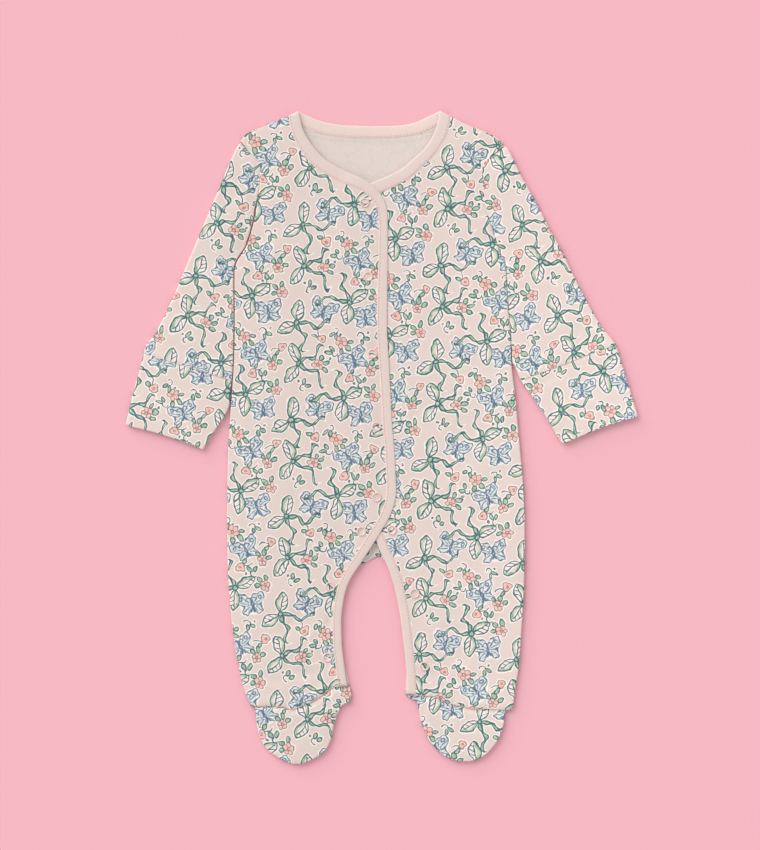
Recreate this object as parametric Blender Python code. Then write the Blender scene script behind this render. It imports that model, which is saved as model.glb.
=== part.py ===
"""Footed baby sleepsuit, laid flat on its back with the neck towards +Y.

Sides are the wearer's: the wearer's right is at -X. The tables and sizes are in
millimetres, x across and y up the garment, and the table that it lies on is z = 0.
Each piece is a wall between two matching grids, its outside and its inside.
The pieces share one list of levels, so that neighbours meet point by point at a seam.
"""

import math

import bmesh
import bpy
from mathutils import Vector

MM = 0.001

# ---- cloth ----
WALL = 1.1               # one layer of jersey
BINDING_WALL = 1.7       # jersey strip folded round a raw edge
SEAM_GAP = 0.3           # between two pieces at a seam
BODY_GAP = 0.5           # between a sleeve and the side of the body that it lies against
SEAM_LIFT = WALL + SEAM_GAP             # underside of a front where it is sewn to the back
OPEN_LIFT = 2.9          # underside of a front away from its seams
# Underside of the right front where it lies on the left one and its binding.
OVERLAP_LIFT = OPEN_LIFT + WALL / 2 + BINDING_WALL / 2 + 2 * SEAM_GAP
BINDING_LIFT = BINDING_WALL + SEAM_GAP  # lowest underside of a front's binding
SEAM_ROLL = 12.0         # width over which a front rises from a seam
OVERLAP_FLAT = 10.0      # the right front stays high this far past the left front's edge
OVERLAP_SLOPE = 16.0     # and comes down over this width
FOLD_ROLL = 6.0          # half width of the roll at the outer fold of a sleeve
FOLD_ROLL_SHARE = 0.35   # of a tube's width, at the most
FOLDED_EDGE = 0.09       # share of a binding's width in which its folded edge rounds off

# ---- ring snaps ----
SNAP_OUTER = 4.4
SNAP_INNER = 2.9
SNAP_HEIGHT = 0.85
SNAP_ROUND = 0.2         # the ring's sides lean in by this much
SNAP_SHOULDER = 0.6      # at this share of its height
SNAP_SEGMENTS = 16

# ---- levels: the heights y at which the pieces have a row of points ----
SHOULDER_LEVELS = (288.0, 284.5, 280.5, 277.0, 274.0, 271.5, 269.7)
NECK_LEVEL = 268.3       # lowest line of the back neck
BODY_LEVELS = (
    NECK_LEVEL, 266.7, 262.3, 259.0, 256.0, 252.2, 248.0, 244.5, 241.0, 236.0, 231.0, 226.0,
    221.0, 217.0, 213.5, 210.0, 206.0, 201.0, 194.0, 187.0, 181.0, 175.5, 171.5, 167.0,
    162.0, 157.0, 152.0, 142.0, 128.0, 113.0, 98.0, 83.0, 74.0, 67.5, 59.0, 50.0, 38.0, 24.0,
    9.0, -6.0, -20.0, -34.0, -45.0, -52.0, -58.0, -64.0, -71.0, -78.0, -84.0, -90.0, -96.0,
    -102.0)
CROTCH_LEVEL = -107.0    # highest line of the crotch
LEG_LEVELS = (-108.4, -110.6, -112.6, -114.4, -117.0, -122.0, -128.0, -135.0, -143.0,
              -152.0, -162.0, -173.0, -184.0, -195.0)
ANKLE_ROWS = 5           # rows from the last level to the slanted ankle seam
BINDING_END_LEVELS = (-204.0, -213.0)   # further rows of the bindings, beside those rows
LEAST_ROW = 1.0          # no row lies closer than this to the end of its piece

# ---- outline of the body ----
# Shoulder, from the neck to the tip: y, x.
RIGHT_SHOULDER = ((293.6, -75.5), (289.0, -84.4), (284.9, -95.1), (279.0, -107.1),
                  (273.1, -120.3), (266.7, -127.5))
LEFT_SHOULDER = ((294.0, 51.9), (289.4, 60.8), (284.9, 69.0), (280.4, 78.0), (276.1, 88.1),
                 (268.9, 102.0), (262.3, 110.2))
# Armhole seam down to the armpit, then the side seam down to the ankle: y, x.
RIGHT_ARMPIT = 171.5
RIGHT_SIDE = (
    (266.7, -127.5), (256.0, -118.7), (244.5, -109.9), (228.6, -110.2), (207.5, -113.3),
    (195.5, -115.0), (183.6, -118.2), (171.5, -122.2), (164.7, -126.3), (157.0, -131.2),
    (150.0, -133.0), (105.2, -132.8), (74.2, -133.2), (48.4, -134.6), (-2.7, -138.1),
    (-31.5, -139.1), (-68.8, -139.5), (-117.2, -139.0), (-144.1, -137.3), (-179.2, -133.9),
    (-208.2, -128.8), (-228.8, -123.4), (-240.3, -118.6))
LEFT_ARMPIT = 175.5
LEFT_SIDE = (
    (262.3, 110.2), (252.2, 97.1), (241.0, 90.1), (221.3, 91.1), (204.7, 93.2), (196.5, 96.1),
    (188.1, 98.6), (175.5, 102.9), (163.4, 106.9), (152.0, 111.2), (127.9, 112.6),
    (111.4, 113.8), (94.8, 115.4), (67.5, 116.4), (36.6, 120.0), (7.7, 122.5), (-23.4, 125.4),
    (-52.2, 127.6), (-89.4, 128.5), (-133.8, 127.8), (-175.1, 125.4), (-207.7, 122.8),
    (-225.5, 120.0), (-244.8, 117.6))
# Ankle seam of the fronts, where the foot uppers are sewn on: x, y. The back's is straight.
RIGHT_ANKLE = ((-119.5, -240.3), (-113.8, -242.0), (-101.3, -241.4), (-90.5, -241.8),
               (-82.7, -244.4), (-70.3, -240.6), (-63.4, -237.6), (-53.3, -231.3),
               (-44.7, -224.8), (-40.4, -224.0), (-28.0, -225.2))
LEFT_ANKLE = ((20.0, -231.4), (31.1, -232.2), (44.0, -232.6), (49.3, -233.8), (59.8, -238.9),
              (74.2, -242.4), (84.5, -244.2), (95.0, -244.0), (112.1, -245.3), (118.0, -244.8))
# Further points of the side seams, beside the slanted rows of the ankles: y.
ANKLE_SIDES = (-220.0, -244.0)
# Middle of the back, where its two halves of the grid join: y, x.
MIDDLE = ((NECK_LEVEL, -10.0), (CROTCH_LEVEL, -3.5))

# ---- bindings: seam y, seam x, free edge x, free edge y ----
# Over edge: neck, front edge, crotch and right leg.
OVER_BINDING = (
    (288.9, -84.2, -75.3, 293.4), (283.3, -83.8, -73.5, 286.4), (276.1, -82.0, -72.0, 279.5),
    (264.4, -77.5, -67.6, 269.7), (253.1, -70.3, -61.3, 260.8), (242.1, -59.9, -52.5, 251.0),
    (235.1, -49.1, -43.6, 244.8), (229.5, -38.3, -33.4, 239.4), (224.9, -26.7, -21.4, 234.2),
    (221.0, -18.2, -11.8, 228.8), (215.1, -10.6, -2.8, 220.7), (209.5, -6.4, 1.7, 213.1),
    (202.3, -3.6, 4.6, 203.3), (186.5, -3.1, 5.1, 186.5), (162.6, -3.3, 5.1, 162.6),
    (128.2, -4.5, 4.7, 128.2), (102.4, -4.9, 4.4, 102.4), (67.3, -3.0, 6.2, 67.3),
    (38.0, -1.1, 7.7, 38.0), (8.7, 0.5, 9.2, 8.7), (-10.8, 2.2, 11.0, -10.8),
    (-30.3, 3.3, 12.0, -30.3), (-47.0, 3.9, 12.7, -48.6), (-55.7, 2.8, 11.2, -58.5),
    (-66.7, -0.7, 7.1, -70.6), (-83.8, -10.6, -3.3, -88.3), (-110.0, -26.9, -19.9, -114.5),
    (-119.6, -33.3, -26.2, -123.7), (-132.1, -39.2, -31.7, -134.7),
    (-146.3, -42.7, -34.8, -147.6), (-165.9, -44.5, -36.7, -165.9),
    (-184.8, -44.2, -36.3, -184.3), (-203.4, -42.1, -34.4, -201.7),
    (-216.9, -40.8, -32.6, -215.6), (-223.4, -40.3, -30.9, -223.9))
# Under edge: neck, front edge below the right front, crotch and left leg.
UNDER_BINDING = (
    (288.6, 61.7, 51.8, 293.8), (281.5, 60.9, 50.1, 284.6), (272.0, 58.3, 47.6, 275.9),
    (262.6, 53.0, 43.7, 267.9), (254.5, 47.2, 38.6, 260.3), (242.8, 35.9, 28.7, 251.0),
    (231.5, 22.9, 17.0, 241.2), (225.9, 12.5, 7.7, 236.2), (221.8, 3.1, -1.8, 232.1),
    (217.6, -6.4, -11.3, 227.9), (214.0, -11.5, -19.0, 221.2), (209.9, -14.9, -23.2, 212.6),
    (202.2, -16.8, -25.2, 203.0), (162.2, -18.4, -26.8, 162.2), (123.5, -17.6, -26.1, 123.5),
    (74.9, -15.0, -23.5, 74.9), (33.5, -12.3, -20.8, 33.5), (2.0, -11.4, -19.9, 2.0),
    (-29.5, -12.2, -20.7, -29.5), (-45.7, -12.6, -21.0, -47.5), (-60.1, -10.6, -18.5, -63.7),
    (-74.5, -5.6, -12.7, -79.0), (-89.2, 1.9, -5.3, -93.1), (-98.8, 6.0, -1.7, -102.7),
    (-105.6, 9.1, 1.5, -109.2), (-114.6, 13.3, 5.5, -118.0), (-126.3, 17.6, 9.5, -129.3),
    (-143.8, 21.7, 13.5, -145.4), (-162.9, 24.9, 16.7, -163.8), (-178.2, 26.7, 18.6, -179.0),
    (-204.1, 29.4, 21.5, -204.8), (-223.8, 30.8, 22.7, -223.6), (-231.5, 31.0, 21.2, -230.6))
FRONT_BINDING = {"right": OVER_BINDING, "left": UNDER_BINDING}
# The left binding's free edge lies below the right front between these heights.
UNDER_COVERED = (-95.0, 230.0)
# Back neck, from the right shoulder to the middle and from the middle to the left shoulder.
BACK_NECK_RIGHT = ((288.6, -83.9, -75.2, 293.1), (279.3, -71.5, -63.5, 287.6),
                   (272.9, -55.5, -52.4, 283.7), (269.6, -34.2, -31.2, 280.5),
                   (NECK_LEVEL + SEAM_GAP, -10.0, -10.0, 279.8))
BACK_NECK_LEFT = ((288.2, 61.0, 51.6, 293.4), (278.8, 47.0, 40.5, 288.0),
                  (272.2, 31.0, 28.2, 282.7), (269.4, 11.4, 10.0, 280.1),
                  (NECK_LEVEL + SEAM_GAP, -10.0, -10.0, 279.8))
# Inner leg edges of the back.
BACK_LEG_RIGHT = (
    (-117.0, -31.3, -24.4, -119.8), (-122.0, -34.9, -27.8, -125.4),
    (-133.5, -41.0, -33.2, -135.7), (-147.2, -44.3, -36.3, -148.3),
    (-166.3, -45.9, -37.9, -166.3), (-185.0, -45.0, -37.0, -184.3),
    (-203.9, -42.3, -34.4, -202.3), (-214.0, -39.9, -31.8, -212.1),
    (-224.9, -37.4, -29.2, -222.4))
BACK_LEG_LEFT = (
    (-114.4, 13.6, 6.0, -117.6), (-118.0, 15.2, 7.4, -120.9), (-128.7, 19.0, 11.2, -131.2),
    (-145.1, 23.2, 15.2, -146.5), (-163.6, 26.4, 18.4, -164.5), (-179.2, 28.0, 20.0, -179.8),
    (-204.8, 30.2, 22.2, -205.0), (-223.4, 29.6, 21.5, -222.4), (-230.6, 29.2, 21.1, -228.2))
# Crotch of the back between the legs: y, x.
CROTCH_RIGHT = ((CROTCH_LEVEL, -3.5), (-108.4, -6.9), (-110.6, -10.4), (-112.6, -14.6),
                (-114.4, -22.0), (-117.0, -31.3))
CROTCH_LEFT = ((CROTCH_LEVEL, -3.5), (-108.4, -0.4), (-110.6, 1.3), (-112.6, 4.6),
               (-114.4, 13.6))

# ---- sleeves and cuffs ----
# Rows across the sleeve: inner end y, outer end x, outer end y. The inner end is on the body.
RIGHT_SLEEVE = (
    (256.0, -128.0, 266.0), (244.5, -132.5, 257.3), (231.0, -137.9, 245.2),
    (213.5, -144.6, 229.0), (194.0, -152.0, 211.5), (181.0, -160.0, 192.5),
    (171.5, -168.5, 172.6), (157.0, -176.7, 153.0), (146.0, -184.2, 134.5),
    (128.0, -192.8, 115.5), (100.0, -202.3, 96.5), (78.0, -208.0, 87.8), (62.0, -212.8, 81.6),
    (50.6, -214.4, 75.6))
LEFT_SLEEVE = (
    (252.2, 111.0, 262.0), (244.5, 114.3, 258.3), (231.0, 119.6, 246.8),
    (213.5, 127.8, 230.4), (201.0, 136.5, 215.2), (187.0, 145.2, 198.2), (175.5, 154.2, 181.2),
    (162.0, 163.2, 165.0), (146.0, 171.2, 147.4), (128.0, 180.8, 129.2), (106.0, 190.3, 110.9),
    (85.0, 199.9, 96.2), (67.5, 206.2, 89.2), (51.0, 210.4, 83.4))
LEFT_SLEEVE_END = 124.4  # x of the inner end of the left sleeve's last row
LEFT_SLEEVE_LEAVES = 67.5  # y at which its inner edge leaves the body
# Rows across the cuff: outer end x, y, inner end x, y.
RIGHT_CUFF = (
    (-214.6, 75.2, -135.6, 50.2), (-217.3, 63.0, -136.2, 40.0), (-221.0, 50.3, -137.0, 30.0),
    (-225.3, 34.6, -141.2, 19.6), (-228.4, 20.5, -148.2, 9.0), (-230.3, 13.0, -156.2, -2.4),
    (-228.6, 9.9, -160.9, -11.6))
LEFT_CUFF = (
    (210.6, 83.0, 124.8, 50.6), (212.9, 75.0, 128.0, 45.6), (217.4, 60.5, 133.6, 38.4),
    (221.5, 47.8, 139.8, 29.0), (225.2, 35.3, 146.4, 19.4), (228.5, 25.0, 153.0, 8.8),
    (230.3, 18.6, 159.2, -3.0), (229.0, 17.8, 163.8, -6.2))
CUFF_STEPS = 2           # rows of points to a row of the cuff's table

# ---- feet: outer end x, y, inner end x, y, and how far the row follows the ankle seam ----
RIGHT_FOOT = (
    (-114.4, -242.2, -28.6, -225.6, 1.0), (-114.1, -245.2, -27.2, -231.0, 0.9),
    (-113.9, -248.2, -28.6, -237.8, 0.75), (-113.6, -251.5, -36.2, -241.4, 0.6),
    (-112.9, -257.4, -39.8, -248.6, 0.4), (-111.4, -265.1, -43.1, -258.8, 0.2),
    (-108.9, -272.4, -45.4, -270.3, 0.0), (-105.2, -278.8, -48.8, -278.4, 0.0),
    (-100.3, -283.6, -53.7, -284.4, 0.0), (-94.2, -287.7, -60.2, -288.6, 0.0),
    (-87.6, -291.4, -66.8, -291.6, 0.0), (-80.5, -293.9, -73.2, -293.9, 0.0))
LEFT_FOOT = (
    (111.2, -245.6, 20.8, -231.8, 1.0), (110.7, -248.0, 24.0, -234.2, 0.9),
    (110.2, -250.6, 31.0, -237.2, 0.75), (109.9, -254.0, 32.6, -243.8, 0.6),
    (109.3, -258.6, 34.2, -252.4, 0.4), (107.6, -264.9, 36.3, -260.6, 0.2),
    (105.0, -270.7, 39.2, -267.4, 0.0), (101.3, -276.6, 43.4, -274.3, 0.0),
    (97.0, -281.8, 48.9, -280.8, 0.0), (92.0, -286.4, 54.5, -285.6, 0.0),
    (85.6, -289.8, 60.7, -289.2, 0.0), (78.2, -291.7, 67.2, -291.5, 0.0))

# ---- soft folds: start x, y, end x, y, half width, height (a trough is negative) ----
FOLDS = (
    (-124.0, 262.0, -104.0, 236.0, 9.0, -0.7),   # right shoulder tip
    (104.0, 258.0, 88.0, 236.0, 9.0, -0.7),      # left shoulder tip
    (-118.0, 168.0, -88.0, 196.0, 10.0, -0.5),   # right armpit
    (100.0, 172.0, 70.0, 202.0, 10.0, -0.5),     # left armpit
    (-56.0, -140.0, -84.0, -176.0, 9.0, -0.7),   # right knee
    (-60.0, -176.0, -96.0, -196.0, 9.0, 0.5),    # below the right knee
    (46.0, -214.0, 92.0, -196.0, 9.0, -0.5),     # above the left ankle
    (-58.0, -214.0, -84.0, -206.0, 9.0, -0.6),   # above the right ankle
    (-44.0, 60.0, -100.0, 84.0, 12.0, 0.4),      # across the right front
    (36.0, -44.0, 96.0, -24.0, 12.0, 0.4))       # across the left front

# ---- where the ring snaps sit: x, y ----
FRONT_SNAPS = ((-15.9, 210.8), (-12.7, 144.6), (-8.7, 75.1), (-5.2, 9.7), (-5.0, -53.8))
RIGHT_LEG_SNAPS = ((-18.6, -84.4), (-46.8, -134.2), (-49.1, -197.8))
LEFT_LEG_SNAPS = ((8.7, -83.5), (29.2, -140.4), (37.9, -205.7))

# ---- columns: shares of a row's length, from its outer end to its inner end ----
FRONT_COLUMNS = (0.0, 0.025, 0.06, 0.12, 0.25, 0.45, 0.65, 0.85, 1.0)
BACK_COLUMNS = (0.0, 1.0)
FOOT_END_COLUMNS = (0.0, 0.95, 1.0)  # the rest of a foot's columns continue its front's,
FOOT_FRONT_COLUMNS = (0.02, 0.93)    # where they come between these two shares
SOLE_COLUMNS = (0.0, 0.25, 0.5, 0.75, 1.0)
SLEEVE_TOP_COLUMNS = (0.0, 0.06, 0.16, 0.4, 0.7, 1.0)
SLEEVE_FOLD_STEPS = 4

PRINTED = ("printed jersey", (0.80, 0.69, 0.64, 1.0), 0.9, 0.0)
PLAIN = ("plain jersey", (0.84, 0.70, 0.64, 1.0), 0.9, 0.0)
SNAP = ("snap paint", (0.86, 0.68, 0.64, 1.0), 0.35, 0.0)


# ---- curves ----

def smooth_curve(points):
    """A smooth function through (key, value) points that never overshoots them."""
    points = sorted(points)
    keys = [point[0] for point in points]
    values = [point[1] for point in points]
    spans = [b - a for a, b in zip(keys, keys[1:])]
    slopes = [(b - a) / span for a, b, span in zip(values, values[1:], spans)]
    tangents = [slopes[0]]
    for before, after in zip(slopes, slopes[1:]):
        same_way = before * after > 0
        tangents.append(2 * before * after / (before + after) if same_way else 0.0)
    tangents.append(slopes[-1])

    def value(key):
        key = min(max(key, keys[0]), keys[-1])
        i = max(k for k in range(len(spans)) if key >= keys[k])
        t = (key - keys[i]) / spans[i]
        return ((1 + 2 * t) * (1 - t) ** 2 * values[i] + t * (1 - t) ** 2 * spans[i] * tangents[i]
                + t * t * (3 - 2 * t) * values[i + 1] + t * t * (t - 1) * spans[i] * tangents[i + 1])
    return value


def table_curves(table):
    """One smooth function of a table's first column for each of its other columns."""
    return [smooth_curve([(row[0], row[column]) for row in table])
            for column in range(1, len(table[0]))]


def ease(t):
    """Rises from 0 to 1 with level ends."""
    t = min(max(t, 0.0), 1.0)
    return t * t * (3 - 2 * t)


def mix(a, b, t):
    return tuple(p + (q - p) * t for p, q in zip(a, b))


def distance(point, line):
    """From a point to a line of points, in the plane of the table."""
    best = math.inf
    for a, b in zip(line, line[1:]):
        along = (b[0] - a[0], b[1] - a[1])
        length = along[0] ** 2 + along[1] ** 2
        t = ((point[0] - a[0]) * along[0] + (point[1] - a[1]) * along[1]) / length
        t = min(max(t, 0.0), 1.0)
        best = min(best, math.hypot(point[0] - a[0] - t * along[0], point[1] - a[1] - t * along[1]))
    return best


RIGHT_EDGE = smooth_curve(RIGHT_SIDE)
LEFT_EDGE = smooth_curve(LEFT_SIDE)
RIGHT_TIP = RIGHT_SIDE[0][0]
LEFT_TIP = LEFT_SIDE[0][0]
RIGHT_SHOULDER_LINE = smooth_curve(RIGHT_SHOULDER)
LEFT_SHOULDER_LINE = smooth_curve(LEFT_SHOULDER)


def body_edge(side, y):
    """x of the body's outline at a height."""
    if side == "right":
        return RIGHT_SHOULDER_LINE(y) if y > RIGHT_TIP else RIGHT_EDGE(y)
    return LEFT_SHOULDER_LINE(y) if y > LEFT_TIP else LEFT_EDGE(y)


def straight(a, b):
    """y of the line through two points."""
    return lambda x: a[1] + (b[1] - a[1]) * (x - a[0]) / (b[0] - a[0])


def sewn_lines(side):
    """The shoulder, and the side seam below the armpit, as lines of points."""
    shoulder = RIGHT_SHOULDER if side == "right" else LEFT_SHOULDER
    armpit = RIGHT_ARMPIT if side == "right" else LEFT_ARMPIT
    heights = [y for y in BODY_LEVELS + LEG_LEVELS + ANKLE_SIDES if y <= armpit]
    return [[(x, y) for y, x in shoulder], [(body_edge(side, y), y) for y in heights]]


SEWN = {side: sewn_lines(side) for side in ("right", "left")}
FRONT_ANKLE = {"right": smooth_curve(RIGHT_ANKLE), "left": smooth_curve(LEFT_ANKLE)}
BACK_ANKLE = {"right": straight(RIGHT_SIDE[-1][::-1], BACK_LEG_RIGHT[-1][1::-1]),
              "left": straight(LEFT_SIDE[-1][::-1], BACK_LEG_LEFT[-1][1::-1])}
UNDER_FREE_EDGE = [(row[2], row[3]) for row in UNDER_BINDING
                   if UNDER_COVERED[0] < row[3] < UNDER_COVERED[1]]
UNDER_FREE_X = smooth_curve([(y, x) for x, y in UNDER_FREE_EDGE])


# ---- heights above the table ----

def folds(x, y):
    """The soft folds' height at a point."""
    total = 0.0
    for x0, y0, x1, y1, half_width, height in FOLDS:
        total += height * math.exp(-(distance((x, y), [(x0, y0), (x1, y1)]) / half_width) ** 2)
    return total


def lift(side, x, y):
    """Underside of a front or a sleeve: low at the sewn lines, level away from them."""
    away = min(distance((x, y), line) for line in SEWN[side])
    rise = math.sin(math.pi / 2 * min(away / SEAM_ROLL, 1.0))
    return SEAM_LIFT + (OPEN_LIFT - SEAM_LIFT + folds(x, y)) * rise


def overlap(x, y):
    """1 where the right front lies on the left one, down to 0 away from it."""
    low, high = UNDER_FREE_EDGE[-1][1], UNDER_FREE_EDGE[0][1]
    if low <= y <= high and x >= UNDER_FREE_X(y):
        return 1.0
    return 1.0 - ease((distance((x, y), UNDER_FREE_EDGE) - OVERLAP_FLAT) / OVERLAP_SLOPE)


def front_lift(side, x, y):
    """Underside of a front."""
    height = lift(side, x, y)
    if side == "right":
        height += (OVERLAP_LIFT - OPEN_LIFT) * overlap(x, y)
    return height


# ---- solids ----

def material_for(name, look):
    label, colour, roughness, metallic = look
    material = bpy.data.materials.new(f"{name} {label}")
    material.use_nodes = True
    shader = material.node_tree.nodes["Principled BSDF"]
    shader.inputs["Base Color"].default_value = colour
    shader.inputs["Roughness"].default_value = roughness
    shader.inputs["Metallic"].default_value = metallic
    return material


def add_object(name, mesh, look):
    """Puts a finished bmesh into the scene as one named object."""
    bmesh.ops.recalc_face_normals(mesh, faces=mesh.faces)
    data = bpy.data.meshes.new(name)
    mesh.to_mesh(data)
    mesh.free()
    data.materials.append(material_for(name, look))
    item = bpy.data.objects.new(name, data)
    bpy.context.collection.objects.link(item)
    return item


def cloth_wall(name, patches, look=PRINTED):
    """A closed wall from patches, each a pair of matching grids: outside and inside."""
    mesh = bmesh.new()
    corners = {}
    partner = {}

    def corner(point):
        key = tuple(round(value, 3) for value in point)
        if key not in corners:
            corners[key] = mesh.verts.new([value * MM for value in point])
        return corners[key]

    def cell(grid, i, j):
        return [corner(grid[r][c]) for r, c in ((i, j), (i + 1, j), (i + 1, j + 1), (i, j + 1))]

    outside_faces = []
    for outside, inside in patches:
        for i in range(len(outside) - 1):
            for j in range(len(outside[0]) - 1):
                upper, lower = cell(outside, i, j), cell(inside, i, j)
                partner.update(zip(upper, lower))
                outside_faces.append(mesh.faces.new(upper))
                mesh.faces.new(reversed(lower))
    rim = [edge for face in outside_faces for edge in face.edges if len(edge.link_faces) == 1]
    for edge in rim:
        a, b = edge.verts
        mesh.faces.new((a, b, partner[b], partner[a]))
    return add_object(name, mesh, look)


def binding(name, sections, look=PLAIN):
    """A folded strip through sections: (seam x, y, underside z), (free edge x, y, underside z)."""
    mesh = bmesh.new()
    rings = []
    for seam, free in sections:
        near_edge = mix(free, seam, FOLDED_EDGE)
        profile = ((seam, BINDING_WALL), (near_edge, BINDING_WALL), (free, BINDING_WALL / 2),
                   (near_edge, 0.0), (seam, 0.0))
        rings.append([mesh.verts.new([x * MM, y * MM, (z + rise) * MM])
                      for (x, y, z), rise in profile])
    for ring, following in zip(rings, rings[1:]):
        for k in range(len(ring)):
            m = (k + 1) % len(ring)
            mesh.faces.new((ring[k], ring[m], following[m], following[k]))
    mesh.faces.new(rings[0])
    mesh.faces.new(reversed(rings[-1]))
    return add_object(name, mesh, look)


# ---- panels ----

def ankle_levels(side, inner_end):
    """Rows from the last leg level to the ankle seam: outer y, inner y, share of the seam's curve."""
    outer_end = RIGHT_SIDE[-1][0] if side == "right" else LEFT_SIDE[-1][0]
    start = LEG_LEVELS[-1]
    rows = []
    for i in range(1, ANKLE_ROWS + 1):
        t = i / ANKLE_ROWS
        rows.append((start + (outer_end - start) * t, start + (inner_end - start) * t, t * t))
    return rows


def panel_rows(side, inner_x, levels, inner_end, ankle, columns):
    """Grid of (x, y) between the body's outline and a piece's inner edge."""
    rows = [(y, y, 0.0) for y in levels] + ankle_levels(side, inner_end)
    last_outer = (body_edge(side, rows[-1][0]), rows[-1][0])
    last_inner = (inner_x(inner_end), inner_end)
    grid = []
    for outer_y, inner_y, curved in rows:
        outer = (body_edge(side, outer_y), outer_y)
        inner = (inner_x(inner_y), inner_y)
        line = []
        for share in columns:
            x, y = mix(outer, inner, share)
            end_x, end_y = mix(last_outer, last_inner, share)
            line.append((x, y + curved * (ankle(end_x) - end_y)))
        grid.append(line)
    return grid


def seam_x(table, side):
    """x of a panel's edge at the seam with a binding, one gap away from it."""
    curve = table_curves(table)[0]
    gap = -SEAM_GAP if side == "right" else SEAM_GAP
    return lambda y: curve(y) + gap


def raised(grid, height):
    """The outside and inside grids of a wall whose underside has the given height."""
    outside = [[(x, y, height(x, y) + WALL) for x, y in row] for row in grid]
    inside = [[(x, y, height(x, y)) for x, y in row] for row in grid]
    return outside, inside


def front(side):
    table = FRONT_BINDING[side]
    levels = SHOULDER_LEVELS[1:] + BODY_LEVELS + (CROTCH_LEVEL,) + LEG_LEVELS
    inner_x = seam_x(table, side)
    grid = panel_rows(side, inner_x, levels, table[-1][0], FRONT_ANKLE[side], FRONT_COLUMNS)
    return cloth_wall(f"front_{side}", [raised(grid, lambda x, y: front_lift(side, x, y))])


def back_half(side, neck, crotch, leg):
    """Half of the back, from its shoulder to its ankle, as one flat grid."""
    neck_x = seam_x(neck, side)
    middle_x = smooth_curve(MIDDLE)
    crotch_x = smooth_curve(crotch)
    leg_x = seam_x(leg, side)

    def inner_x(y):
        if y > NECK_LEVEL:
            return neck_x(y)
        if y >= CROTCH_LEVEL:
            return middle_x(y)
        return crotch_x(y) if y > leg[0][0] else leg_x(y)

    levels = SHOULDER_LEVELS + BODY_LEVELS + (CROTCH_LEVEL,) + LEG_LEVELS
    return panel_rows(side, inner_x, levels, leg[-1][0], BACK_ANKLE[side], BACK_COLUMNS)


def back_panel():
    halves = (back_half("right", BACK_NECK_RIGHT, CROTCH_RIGHT, BACK_LEG_RIGHT),
              back_half("left", BACK_NECK_LEFT, CROTCH_LEFT, BACK_LEG_LEFT))
    return cloth_wall("back_panel", [raised(half, lambda x, y: 0.0) for half in halves])


# ---- bindings ----

def section_levels(table):
    """The levels between a binding's two ends, and the ends themselves."""
    first, last = table[0][0], table[-1][0]
    levels = SHOULDER_LEVELS + BODY_LEVELS + (CROTCH_LEVEL,) + LEG_LEVELS + BINDING_END_LEVELS
    return [first] + [y for y in levels if last + LEAST_ROW < y < first - LEAST_ROW] + [last]


def binding_sections(table, height):
    """Seam and free points of a binding at the shared levels, with their undersides."""
    seam, free_x, free_y = table_curves(table)
    sections = []
    for y in section_levels(table):
        points = ((seam(y), y), (free_x(y), free_y(y)))
        sections.append([(px, py, height(px, py)) for px, py in points])
    return sections


def front_binding(side):
    def height(x, y):
        return max(front_lift(side, x, y) + (WALL - BINDING_WALL) / 2, BINDING_LIFT)
    return binding(f"binding_front_{side}", binding_sections(FRONT_BINDING[side], height))


def flat(x, y):
    return 0.0


def back_neck_binding():
    right = binding_sections(BACK_NECK_RIGHT, flat)
    left = binding_sections(BACK_NECK_LEFT, flat)
    return binding("binding_back_neck", right + left[-2::-1])


# ---- sleeves, cuffs and feet ----

def tube_row(side, outer, inner):
    """Outside and inside points round a flattened tube, from its top seam to its bottom seam."""
    width = math.hypot(outer[0] - inner[0], outer[1] - inner[1])
    roll = min(FOLD_ROLL, width * FOLD_ROLL_SHARE)
    outside = []
    inside = []
    for share in SLEEVE_TOP_COLUMNS:
        x, y = mix(inner, outer, share * (1 - roll / width))
        height = lift(side, x, y)
        outside.append((x, y, height + WALL))
        inside.append((x, y, height))
    top = outside[-1][2]
    for step in range(1, SLEEVE_FOLD_STEPS):
        angle = math.pi / 2 - math.pi * step / SLEEVE_FOLD_STEPS
        for grid, reach, rise in ((outside, roll, top / 2), (inside, roll - WALL, top / 2 - WALL)):
            x, y = mix(inner, outer, 1 - (roll - reach * math.cos(angle)) / width)
            grid.append((x, y, top / 2 + rise * math.sin(angle)))
    for share in (1.0, 0.5, 0.0):
        x, y = mix(inner, outer, share * (1 - roll / width))
        outside.append((x, y, 0.0))
        inside.append((x, y, WALL))
    return outside, inside


def tube(name, side, rows):
    """A flattened tube through rows of (outer end, inner end)."""
    pairs = [tube_row(side, outer, inner) for outer, inner in rows]
    return cloth_wall(name, [([pair[0] for pair in pairs], [pair[1] for pair in pairs])])


def sleeve(side, table):
    outer_x, outer_y = table_curves(table)
    gap = -1 if side == "right" else 1
    armpit = RIGHT_ARMPIT if side == "right" else LEFT_ARMPIT
    first, last = table[0][0], table[-1][0]
    rows = []
    for y in [y for y in BODY_LEVELS if last + LEAST_ROW < y <= first] + [last]:
        inner_x = body_edge(side, y) + gap * (SEAM_GAP if y > armpit else BODY_GAP)
        if side == "left" and y < LEFT_SLEEVE_LEAVES:
            t = (LEFT_SLEEVE_LEAVES - y) / (LEFT_SLEEVE_LEAVES - last)
            inner_x += (LEFT_SLEEVE_END - inner_x) * t
        rows.append(((outer_x(y), outer_y(y)), (inner_x, y)))
    return tube(f"sleeve_{side}", side, rows)


def cuff(side, table):
    curves = table_curves([(i,) + row for i, row in enumerate(table)])
    rows = []
    for i in range((len(table) - 1) * CUFF_STEPS + 1):
        outer_x, outer_y, inner_x, inner_y = (curve(i / CUFF_STEPS) for curve in curves)
        rows.append(((outer_x, outer_y), (inner_x, inner_y)))
    return tube(f"cuff_{side}", side, rows)


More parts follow.
